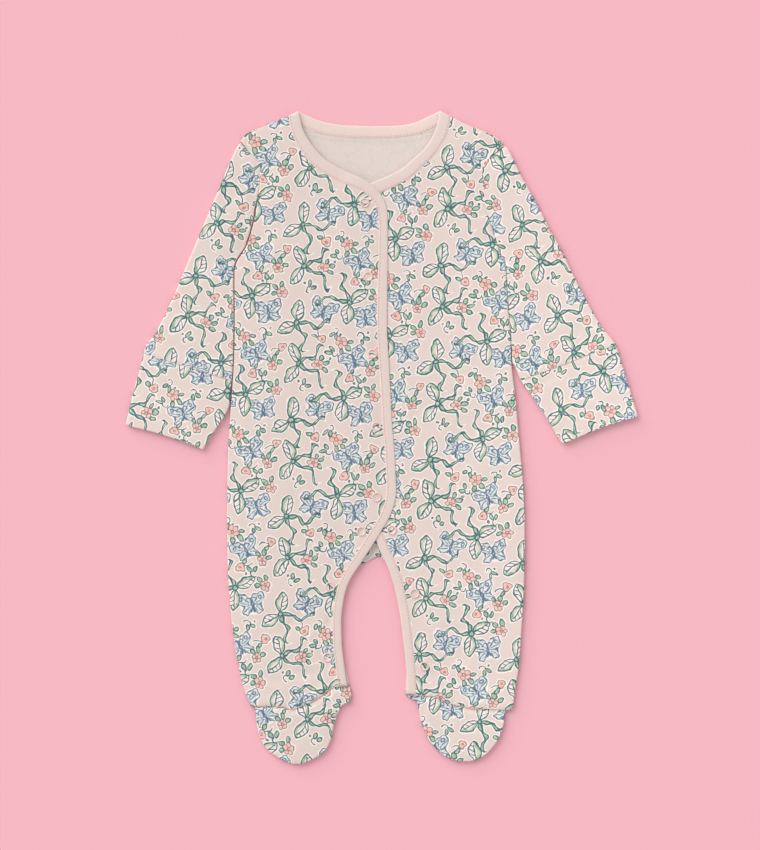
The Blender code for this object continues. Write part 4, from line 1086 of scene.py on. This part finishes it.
def foot(side):
    """A foot's upper, whose first rows reach under the leg's end, and its sole."""
    table, label = FOOT[side], f"foot_{side}"
    turn, shift, seed = TURN[label], PRINT_SHIFT[label], SEED[label]
    last = len(table) - 1
    t = np.concatenate([FOOT_START, np.arange(1.0, last - 0.99, 1 / 3), last - np.array(FOOT_END)])
    share = shares(widths(*foot_rows(table, t)[:2]), both=True, step=FOOT_STEP)
    grid = foot_flat(table, t, share, FRONT_ANKLE[side])
    grid[..., 1] += (SEAM_GAP + HEM_LAP) * np.clip(1 - t / 0.33, 0, 1)[:, None]
    x, y = grid[..., 0], grid[..., 1]
    to_rim = distance(x, y, [*grid[:, 0], *grid[-1], *grid[::-1, -1]])
    to_ankle = np.maximum(FRONT_ANKLE[side](x) - y, 0.0)
    z = SEAM_LIFT + (OPEN_LIFT - SEAM_LIFT) * seam_rise(to_rim) + WALL
    z = z + fine_waves(x, y, seed) * ease(to_rim / CALM) + folds(x, y, CREASES[label])
    z = z + puckers("ankle", x, to_ankle, seed)
    z = z + puckers("foot", x + y, to_rim, seed + 1)
    edge = xy(grid[0, :, 0], FRONT_ANKLE[side](grid[0, :, 0]))
    edge_z = front_surface(side, edge)
    order = np.argsort(edge[:, 0])
    lapped = np.interp(x, edge[order, 0], edge_z[order]) - HEM_DROP
    z = rolled(lapped + (z - lapped) * ease((to_ankle - 0.5) / 6.0), to_rim, EDGE_REST)
    points = raised(grid, z)
    printed_piece(f"Foot_upper_{side}", points,
                             cloth_coords(*unrolled(points), turn, shift), side == "left")
    t = np.linspace(0, last - 0.05, 40)
    inset = np.minimum(EDGE_INSET / widths(*foot_rows(table, t)[:2]), 0.3)[:, None]
    share = inset + (1 - 2 * inset) * np.linspace(0, 1, 26)[None, :]
    sole = foot_flat(table, t, share, BACK_ANKLE[side])
    printed_piece(f"Foot_sole_{side}", raised(sole, resting(sole)),
                             cloth_coords(-sole[..., 0], sole[..., 1], -turn, shift),
                             side == "right")
    return [(f"ankle_{side}", raised(edge, edge_z - 0.1)[6:-6], 1.0)]


# ---- sewing and ring snaps ----

def ringed(rings, sides, closed):
    """Faces of a tube of rings of points, and whether the last ring meets the first."""
    faces = []
    for r in range(rings if closed else rings - 1):
        for k in range(sides):
            here, there, m = r * sides, (r + 1) % rings * sides, (k + 1) % sides
            faces.append((here + k, here + m, there + m, there + k))
    return faces


def stitches(name, line, pitch, fineness, look):
    """A row of stitches along a line of points on the cloth."""
    radius = STITCH_RADIUS * fineness
    far = np.concatenate([[0], np.cumsum(np.linalg.norm(np.diff(line, axis=0), axis=1))])
    marks = np.arange(pitch / 2, far[-1], pitch)
    half = STITCH_LENGTH / 2
    place = lambda s: np.stack([np.interp(s, far, line[:, k]) for k in range(3)], axis=-1)
    middle, ahead = place(marks), unit(place(marks + half) - place(marks - half))
    beside = unit(np.cross(ahead, [0.0, 0.0, 1.0]))
    up = np.cross(beside, ahead)
    rings, sides = len(STITCH_SHAPE), STITCH_SIDES
    pattern = ringed(rings, sides, False)
    pattern += [tuple(reversed(range(sides))), tuple(range((rings - 1) * sides, rings * sides))]
    verts, faces = [], []
    for i in range(len(marks)):
        start = len(verts)
        way = ahead[i] + beside[i] * (STITCH_LEAN * math.sin(i * 2.3))
        for reach, swell in STITCH_SHAPE:
            for k in range(sides):
                turn = 2 * math.pi * k / sides
                verts.append(middle[i] + way * reach * STITCH_LENGTH
                             + beside[i] * math.cos(turn) * radius * swell
                             + up[i] * (math.sin(turn) * 0.7 * radius * swell
                                        + STITCH_ARCH * (1 - abs(reach) * 2)))
        faces += [tuple(start + k for k in face) for face in pattern]
    new_object(name, np.array(verts), faces, (look,))


def ring(label, side, x, y):
    around = np.linspace(0, 2 * math.pi, 8, endpoint=False)
    ground = front_lift(side, x + RING_OUTER * np.cos(around), y + RING_OUTER * np.sin(around))
    base = ground.mean() + WALL - RING_SUNK
    verts = []
    for k in range(RING_SEGMENTS):
        turn = 2 * math.pi * k / RING_SEGMENTS
        for share, height in RING:
            radius = RING_INNER + (RING_OUTER - RING_INNER) * share
            verts.append((x + radius * math.cos(turn), y + radius * math.sin(turn),
                          base + RING_HEIGHT * height))
    faces = [(b, a, d, c) for a, b, c, d in ringed(RING_SEGMENTS, len(RING), True)]
    item = new_object(f"Ring_{label}", np.array(verts), faces, (snap_paint,))
    stand_for(item, f"snap_{label}")


# ---- shader nodes ----

class Value:
    """What a node works out, so that the print is written as formulas."""

    def __init__(self, socket):
        self.socket = socket
        self.tree = socket.id_data

    __add__ = lambda self, other: calc("ADD", self, other)
    __radd__ = lambda self, other: calc("ADD", other, self)
    __sub__ = lambda self, other: calc("SUBTRACT", self, other)
    __rsub__ = lambda self, other: calc("SUBTRACT", other, self)
    __mul__ = lambda self, other: calc("MULTIPLY", self, other)
    __rmul__ = lambda self, other: calc("MULTIPLY", other, self)


def put(given, socket):
    """Gives an input a number or colour, or links it to what another node works out."""
    if isinstance(given, Value):
        given.tree.links.new(given.socket, socket)
    else:
        socket.default_value = given


def add(tree, kind, given, out=0, **settings):
    """Adds a node, and gives the output of that name or number, or several of them."""
    node = tree.nodes.new("ShaderNode" + kind)
    for name, setting in settings.items():
        setattr(node, name, setting)
    for key, value in given.items():
        put(value, node.inputs[key])
    if isinstance(out, tuple):
        return [Value(node.outputs[key]) for key in out]
    return Value(node.outputs[out])


def tree_of(values):
    return next(value.tree for value in values if isinstance(value, Value))


def calc(kind, *given):
    return add(tree_of(given), "Math", dict(enumerate(given)), operation=kind)


def chained(kind):
    return lambda *values: functools.reduce(functools.partial(calc, kind), values)


minimum, maximum = chained("MINIMUM"), chained("MAXIMUM")
absolute, sine, arctan2, scaled = (functools.partial(calc, kind) for kind in
                                   ("ABSOLUTE", "SINE", "ARCTAN2", "MULTIPLY_ADD"))


def length2(x, y):
    return calc("SQRT", scaled(x, x, y * y))


def group(name, inputs, outputs, make, takes="Float", gives="Float"):
    """A node group from a function of Values. Calling the result places it."""
    tree = bpy.data.node_groups.new(name, "ShaderNodeTree")
    for labels, way, kind in ((inputs, "INPUT", takes), (outputs, "OUTPUT", gives)):
        for label in labels:
            tree.interface.new_socket(label, in_out=way, socket_type="NodeSocket" + kind)
    start, end = tree.nodes.new("NodeGroupInput"), tree.nodes.new("NodeGroupOutput")
    for result, socket in zip(make(*map(Value, start.outputs[:len(inputs)])), end.inputs):
        put(result, socket)
    return lambda *given: add(tree_of(given), "Group", dict(enumerate(given)),
                              tuple(range(len(outputs))), node_tree=tree)


# ---- the print: a generic design of leaf sprigs, butterflies and blossoms ----

MOAT = 1.3                # bare ground left round a motif that lies on another
FROM_BUD = 2.0            # how far from a sprig's bud its leaves and stems start
# Where each motif stands in a tile: x, y, turn in degrees, -1 where it is mirrored, and a
# blossom's size.
SPRIGS = ((20, 22, 25, 1), (72, 46, 205, 1), (24, 80, 120, -1))
BUTTERFLIES = ((46, 34, -20, 1), (90, 30, 14, 1), (81, 86, 30, 1))
BLOSSOMS = ((67, 4, -60, 1, 6.6), (3, 51, 120, 1, 6.0), (44, 79, 0, 1, 6.0),
            (98, 76, 60, 1, 5.4))
BUDS = ((77, 67, 30, 1), (6, 96, 200, 1), (46, 6, 120, 1))
CURLS = ((86, 11, 0, 1), (30, 56, 100, 1), (60, 15, 300, 1), (90, 62, 150, 1), (60, 92, 200, 1))


def turned(x, y, angle):
    c, s = math.cos(math.radians(angle)), math.sin(math.radians(angle))
    return scaled(x, c, y * s), scaled(y, c, x * -s)


def lens(u, side, length, width):
    """Distance to a form with two points, from how far along and how far aside of it."""
    half, thick = length / 2, width / 2
    radius = (half * half + thick * thick) / (2 * thick)
    return length2(u - half, side + (radius - thick)) - radius


def leaf(x, y, angle, start, length, width):
    u, v = turned(x, y, angle)
    return lens(u - start, absolute(v), length, width)


def veined_leaf(x, y, angle, length, width):
    """A leaf with a midrib and side veins: its lines, its filled rim, and its outline."""
    u, v = turned(x, y, angle)
    u = u - FROM_BUD
    side = absolute(v)
    body = lens(u, side, length, width)
    midrib = maximum(side, u - length * 0.82)
    veins = absolute(calc("WRAP", u - side * 0.8, 2.5, -2.5)) * 0.75 + 0.2
    veins = maximum(veins, maximum(body + 1.0, v))
    lines = minimum(absolute(body), maximum(midrib, body), veins)
    rim = 0.0 - body - scaled(sine(u * 0.5), 0.7, 2.3)
    return lines, maximum(body, 0.0 - v, rim), body


def tendril(x, y, angle, length, wave, height, twist, phase):
    """Distance to a long stem that waves and twists like a flat band."""
    u, v = turned(x, y, angle)
    u = u - FROM_BUD
    centre = sine(scaled(u, 2 * math.pi / wave, phase)) * (u * (height / length))
    broad = scaled(absolute(sine(scaled(u, math.pi / twist, 0.4))), 1.5, 0.3)
    edge = (absolute(v - centre) - broad) * 0.85
    return maximum(edge, absolute(u - length / 2) - length / 2)


def sprig(x, y):
    """Two broad leaves at a bud, with two long twisting stems."""
    lines_one, half_one, one = veined_leaf(x, y, 62.0, 21.0, 12.0)
    lines_two, half_two, two = veined_leaf(x, y, 188.0, 20.0, 11.5)
    stem_one = tendril(x, y, -28.0, 32.0, 25.0, 6.5, 10.5, 0.3)
    stem_two = tendril(x, y, -92.0, 28.0, 22.0, -6.0, 9.5, 0.9)
    middle = length2(x, y) - 2.4
    stems = maximum(minimum(stem_one, stem_two), 0.0 - minimum(one, two))
    line = minimum(lines_one, lines_two, absolute(stems), absolute(middle))
    return line, minimum(half_one, half_two, stems, middle), minimum(one, two, stems)


def butterfly(x, y):
    side = absolute(x)
    around = arctan2(y, side)
    ripple = sine(around * 14.0)
    wings = minimum(scaled(ripple, 0.5, leaf(side, y, 38.0, 1.2, 16.0, 11.5)),
                    scaled(ripple, 0.5, leaf(side, y, -38.0, 1.0, 12.0, 8.5)))
    body = length2(x, y * 0.28) - 0.9
    out = length2(x, y)
    rays = absolute(sine(scaled(around, 6.5, 0.6))) * (out * 0.16)
    rays = maximum(rays, maximum(wings + 1.3, 4.2 - out))
    spots = absolute(length2(side - 9.6, y - 7.2) - 1.5)
    feelers = maximum(absolute(length2(side - 2.6, y - 5.0) - 2.6), 5.0 - y)
    return minimum(absolute(wings), absolute(body), rays + 0.1, spots, feelers), wings


def blossom(x, y, size):
    out = length2(x, y)
    lobes = absolute(sine(arctan2(y, x) * 2.5))
    petals = out - scaled(lobes, size * 0.32, size * 0.66)
    split = maximum(lobes * (out * 0.45), maximum(petals + 0.3, size * 0.40 - out)) + 0.1
    line = minimum(absolute(petals), split, absolute(out - size * 0.22))
    reach = size * 0.85
    leaves = minimum(leaf(x, y, 20.0, reach, 7.5, 4.6), leaf(x, y, -28.0, reach, 6.8, 4.2),
                     leaf(x, y, 66.0, reach, 6.0, 3.8))
    return line, petals, maximum(leaves, 0.0 - petals)


def bud(x, y):
    lobes = absolute(sine(arctan2(y, x) * 1.5))
    petals = length2(x, y) - scaled(lobes, 1.4, 3.4)
    line = minimum(absolute(petals), absolute(length2(x + 0.6, y - 0.4) - 1.0) + 0.1)
    stem = maximum(absolute(y - sine(x * 0.5)), absolute(x - 8.0) - 4.2)
    return line, petals, stem, leaf(x, y, 38.0, 4.5, 6.5, 3.6)


def curl(x, y):
    hook = maximum(absolute(length2(x, y) - 3.0), minimum(0.8 - x - y, 0.5 - y))
    leaves = minimum(leaf(x, y, -20.0, 2.6, 7.0, 3.6), leaf(x, y, -75.0, 2.4, 6.0, 3.2))
    return hook, leaves, length2(x - 6.5, y - 3.6) - 0.8


def design(x, y):
    """Distances to the lines and to the fills of each colour."""
    lines, fills = ({"green": [], "blue": [], "peach": []} for _ in range(2))

    def motifs(name, inputs, outputs, make, places):
        """Places a group by each row of a table, and gives what it works out there."""
        use = group(name, inputs, outputs, make)
        for cx, cy, turn, mirror, *size in places:
            u, v = (calc("WRAP", a - c, TILE / 2, -TILE / 2) for a, c in ((x, cx), (y, cy)))
            u, v = turned(u, v, turn)
            yield use(u if mirror == 1 else u * mirror, v, *size)

    def draw(colour, line, fill):
        lines[colour].append(line)
        fills[colour].append(fill)

    sprigs = []
    for line, fill, body in motifs("Sprig", "xy", ("line", "fill", "body"), sprig, SPRIGS):
        draw("green", line, fill)
        sprigs.append(body)
    off_sprigs = MOAT - minimum(*sprigs)
    for line, fill in motifs("Butterfly", "xy", ("line", "fill"), butterfly, BUTTERFLIES):
        draw("blue", line, fill)
    for line, fill, leaves in motifs("Blossom", ("x", "y", "size"), ("line", "fill", "leaves"),
                                     blossom, BLOSSOMS):
        leaves = maximum(leaves, off_sprigs)
        draw("peach", maximum(line, off_sprigs), maximum(fill, off_sprigs))
        draw("green", absolute(leaves) + 0.1, leaves)
    for line, fill, stem, leaves in motifs("Bud", "xy", ("line", "fill", "stem", "leaf"), bud,
                                           BUDS):
        draw("peach", line, fill)
        draw("green", minimum(absolute(leaves), stem) + 0.1, leaves)
    for hook, leaves, dot in motifs("Curl", "xy", ("hook", "leaves", "dot"), curl, CURLS):
        leaves = maximum(leaves, off_sprigs)
        draw("green", minimum(hook, absolute(leaves), absolute(dot)) + 0.1, leaves)
    for drawn in (lines, fills):
        for colour in drawn:
            drawn[colour] = minimum(*drawn[colour])
    clear = maximum(off_sprigs, MOAT - minimum(fills["peach"], fills["green"]))
    for drawn in (lines, fills):
        drawn["blue"] = maximum(drawn["blue"], clear)
    return lines, fills


# ---- materials ----

def linear(r, g, b):
    return tuple(((c / 255 + 0.055) / 1.055) ** 2.4 for c in (r, g, b)) + (1.0,)


INSIDE = linear(231, 217, 210)
PLAIN = linear(232, 212, 205)
# The plain jersey of the back neck binding, painted lighter: painted light on the same cloth.
PLAIN_NECK_PAINTED_LIGHTER = linear(239, 217, 209)
GROUND = linear(231, 213, 205)
HALO = linear(255, 243, 234)
GREEN_FILL = linear(128, 178, 144)
YOUNG_GREEN = linear(176, 206, 158)
BLUE_FILL = linear(180, 206, 211)
PEACH_FILL = linear(250, 188, 168)
# Each colour's line: how much of the line's width it has, and how dense it is.
LINES = (("blue", linear(60, 104, 136), 0.85, 0.92), ("green", linear(56, 102, 114), 1.0, 0.95),
         ("peach", linear(116, 108, 126), 0.8, 0.88))
LINE_LEAST = 0.18         # half the width of the thinnest stroke
LINE_VARIES = 0.95        # and how much a stroke may gain on it
LINE_SOFT = 0.3
HALO_WIDTH = 1.7          # of the pale rim round every line
HALO_SOFT = 0.45
WANDER = (6.5, 1.1)       # how far the design strays, in wide bends and in small ones
DENSITY = 1.14            # the design is this much smaller than it is written
FLOOR = (0.939, 0.491, 0.558, 1.0)
FLOOR_SHADE = tuple(c * 0.985 for c in FLOOR[:3]) + (1.0,)
WALE = 0.95               # width of one column of knitting
COURSE = 0.75             # height of one row of it
KNIT_DEPTH = 0.12
SHOW_THROUGH = 0.06       # how much of the print shows on the inside
# Painted light: the cloth's colour changes slowly along x, in metres, growing paler where light
# falls brighter toward the sleeves.
PAINTED_LIGHT_SHIFT = 0.038        # how far toward -X from the middle it is darkest
PAINTED_LIGHT_BEND = 0.03          # how gently it starts to grow paler there
PAINTED_LIGHT_LEAST = 0.95
PAINTED_LIGHT_OUTWARD = 0.5        # how much paler it grows a metre, to either side
PAINTED_LIGHT_LEFT = 0.08          # and how much more toward the left sleeve


def noise(tree, vector, scale, detail, seed, out=0):
    given = {"Vector": vector, "W": seed, "Scale": scale, "Detail": detail}
    return add(tree, "TexNoise", given, out, noise_dimensions="4D")


def below(value, edge, soft):
    """1 where a value is below an edge, 0 above it, with a soft step."""
    return add(value.tree, "MapRange", {"Value": value, "From Min": edge - soft,
                                        "From Max": edge + soft, "To Min": 1.0, "To Max": 0.0},
               interpolation_type="SMOOTHSTEP")


def mixed(base, colour, factor):
    """A colour over another one."""
    given = {0: factor, 6: base, 7: colour}
    return add(tree_of(given.values()), "Mix", given, 2, data_type="RGBA")


def toned(colour, level):
    colour = colour[:3] if isinstance(colour, tuple) else colour
    return add(level.tree, "VectorMath", {0: colour, "Scale": level}, operation="SCALE")


def cloth_xy(tree, vector, size):
    return [part * size for part in add(tree, "SeparateXYZ", {0: vector}, (0, 1))]


def print_colour(vector):
    """The print's colour from cloth coordinates."""
    tree = vector.tree
    x, y = cloth_xy(tree, vector, TILE * DENSITY)
    drift = []
    for scale, seed in ((9.0, 0.0), (30.0, 5.0)):
        colour = noise(tree, vector, scale, 1.0, seed, "Color")
        drift.append([part - 0.5 for part in add(tree, "SeparateColor", {0: colour}, (0, 1))])
    x, y = (a + big * WANDER[0] + small * WANDER[1] for a, big, small in zip((x, y), *drift))
    lines, fills = design(x, y)
    stroke = noise(tree, vector, 26.0, 1.0, 9.0)
    wash = noise(tree, vector, 40.0, 2.0, 3.0)
    half_line = scaled(stroke, LINE_VARIES, LINE_LEAST)
    patchy = below(0.0 - wash, -0.47, 0.07)
    green = mixed(GREEN_FILL, YOUNG_GREEN, below(stroke, 0.5, 0.12) * 0.8)
    every_line = minimum(lines["green"], lines["blue"], lines["peach"])
    colour = mixed(GROUND, HALO, below(every_line, HALO_WIDTH, HALO_SOFT))
    for name, fill, edge, soft, patches, least in (
            ("blue", BLUE_FILL, 0.0, 0.3, 0.5, 0.12), ("green", green, 0.1, 0.35, 0.3, 0.62),
            ("peach", PEACH_FILL, -0.3, 0.4, 0.3, 0.6)):
        colour = mixed(colour, fill,
                       below(fills[name], edge, soft) * scaled(patchy, patches, least))
    for name, ink, breadth, dense in LINES:
        colour = mixed(colour, ink, below(lines[name], half_line * breadth, LINE_SOFT) * dense)
    return [colour]


def material(name, **sockets):
    """A material, its node tree and its shader, with these numbers on the shader."""
    made = bpy.data.materials.new(name)
    made.use_nodes = True
    shader = made.node_tree.nodes["Principled BSDF"]
    for label, number in sockets.items():
        shader.inputs[label.replace("_", " ")].default_value = number
    return made, made.node_tree, shader


def painted_light_toward_sleeves(tree):
    """Painted light: the cloth is painted a little paler toward the sleeves, most toward the left
    one.
    """
    at = add(tree, "TexCoord", {}, "Object")
    away = add(tree, "SeparateXYZ", {0: at}) + PAINTED_LIGHT_SHIFT
    bend = calc("SQRT", scaled(away, away, PAINTED_LIGHT_BEND * PAINTED_LIGHT_BEND))
    return scaled(bend, PAINTED_LIGHT_OUTWARD, scaled(away, PAINTED_LIGHT_LEFT, PAINTED_LIGHT_LEAST))


def cloth(name, colour_of):
    """Jersey: columns of small leaning loops, a soft unevenness, a slight sheen and painted light.
    """
    made, tree, shader = material(name, Roughness=0.88, Sheen_Weight=0.25, Sheen_Roughness=0.5,
                                  Specular_IOR_Level=0.2)
    vector = add(tree, "UVMap", {}, uv_map="Cloth")
    u, v = cloth_xy(tree, vector, TILE)
    column = sine(u * (2 * math.pi / WALE))
    rows = sine(v * (2 * math.pi / COURSE) + absolute(sine(u * (math.pi / WALE))) * 2.6)
    loops = scaled(rows, 0.45, column * 0.55)
    height = loops * 0.5 + noise(tree, vector, 70.0, 3.0, 1.0) * 1.6
    put(add(tree, "Bump", {"Strength": 0.35, "Distance": KNIT_DEPTH * MM, "Height": height}),
        shader.inputs["Normal"])
    level = scaled(noise(tree, vector, 55.0, 3.0, 2.0), 0.09, 0.955) + loops * 0.012
    # The base colour is scaled by painted light that makes it paler toward the sleeves.
    put(toned(toned(colour_of(vector), level), painted_light_toward_sleeves(tree)), shader.inputs["Base Color"])
    return made


def speckled(name, base, shade, scale, strength, **sockets):
    """A material in two colours, mixed in fine spots: its spots and shader as well."""
    made, tree, shader = material(name, **sockets)
    at = add(tree, "TexCoord", {}, "Object")
    spots = add(tree, "TexNoise", {"Vector": at, "Scale": scale})
    put(mixed(base, shade, spots * strength), shader.inputs["Base Color"])
    return made, spots, shader


use_print = group("Print", ("Coordinates",), ("Colour",), print_colour, "Vector", "Color")
printed = cloth("Printed jersey", lambda vector: use_print(vector)[0])
inside = cloth("Jersey inside",
               lambda vector: mixed(INSIDE, use_print(vector)[0], SHOW_THROUGH))
plain = cloth("Plain jersey", lambda vector: PLAIN)
plain_neck_painted_lighter = cloth("Plain jersey neck painted lighter", lambda vector: PLAIN_NECK_PAINTED_LIGHTER)
thread, seam_thread = (
    speckled(name, linear(*base), linear(*shade), 900.0, 0.5, Roughness=0.6)[0]
    for name, base, shade in (("Sewing thread", (240, 186, 172), (222, 160, 146)),
                              ("Seam thread", (240, 200, 188), (228, 184, 172))))
snap_paint, paint_spots, paint_shader = speckled(
    "Snap paint", linear(240, 207, 198), linear(232, 199, 190), 400.0, 0.5, Coat_Weight=0.15)
put(scaled(paint_spots, 0.15, 0.28), paint_shader.inputs["Roughness"])

# ---- everything ----

back()
seams = []
for side in SIDE:
    seams += foot(side)
    front(side)
    seams += sleeve(side)
    cuff(side)
for label, line in bindings():
    stitches(f"Stitches_{label}", line, STITCH_PITCH, 1.0, thread)
for label, line, fineness in seams:
    stitches(f"Stitches_{label}", line, SEAM_PITCH, fineness, seam_thread)
for row, side, places in (("front", "right", FRONT_SNAPS),
                          *((f"leg_{side}", side, LEG_SNAPS[side]) for side in SIDE)):
    for k, (x, y) in enumerate(places, 1):
        ring(f"{row}_{k}", side, x, y)

# ---- floor, light and camera, in metres ----

SKY = 0.68                # strength of the even light
SUN = 2.2                 # and of the soft one from the upper left
SUN_WIDTH = 50.0          # degrees
SUN_TURN = (-42.0, -52.0, 0.0)
CAMERA = (-0.0019, 0.011, 3.0)
LENS = 141.2              # millimetres, on a sensor 36 mm high
FLOOR_SIZE = 8.0
FLOOR_LEVEL = -0.0003

bpy.ops.mesh.primitive_plane_add(size=FLOOR_SIZE, location=(0, 0, FLOOR_LEVEL))
floor = bpy.context.object
floor.name = "Floor"
floor.data.materials.append(speckled("Floor paper", FLOOR, FLOOR_SHADE, 350.0, 1.0,
                                     Roughness=0.95, Specular_IOR_Level=0.0)[0])

scene = bpy.context.scene
scene.view_settings.view_transform = "Standard"
scene.view_settings.look = "None"
scene.world = bpy.data.worlds.new("Studio")
scene.world.use_nodes = True
background = scene.world.node_tree.nodes["Background"]
background.inputs["Color"].default_value = (1.0, 1.0, 1.0, 1.0)
background.inputs["Strength"].default_value = SKY
sun = bpy.data.lights.new("Sun", "SUN")
sun.energy = SUN
sun.angle = math.radians(SUN_WIDTH)
lamp = bpy.data.objects.new("Sun", sun)
lamp.rotation_euler = [math.radians(angle) for angle in SUN_TURN]
lens_data = bpy.data.cameras.new("Camera")
lens_data.sensor_fit = "VERTICAL"
lens_data.sensor_height = 36.0
lens_data.lens = LENS
camera = bpy.data.objects.new("Camera", lens_data)
camera.location = CAMERA
for item in (lamp, camera):
    scene.collection.objects.link(item)
scene.camera = camera
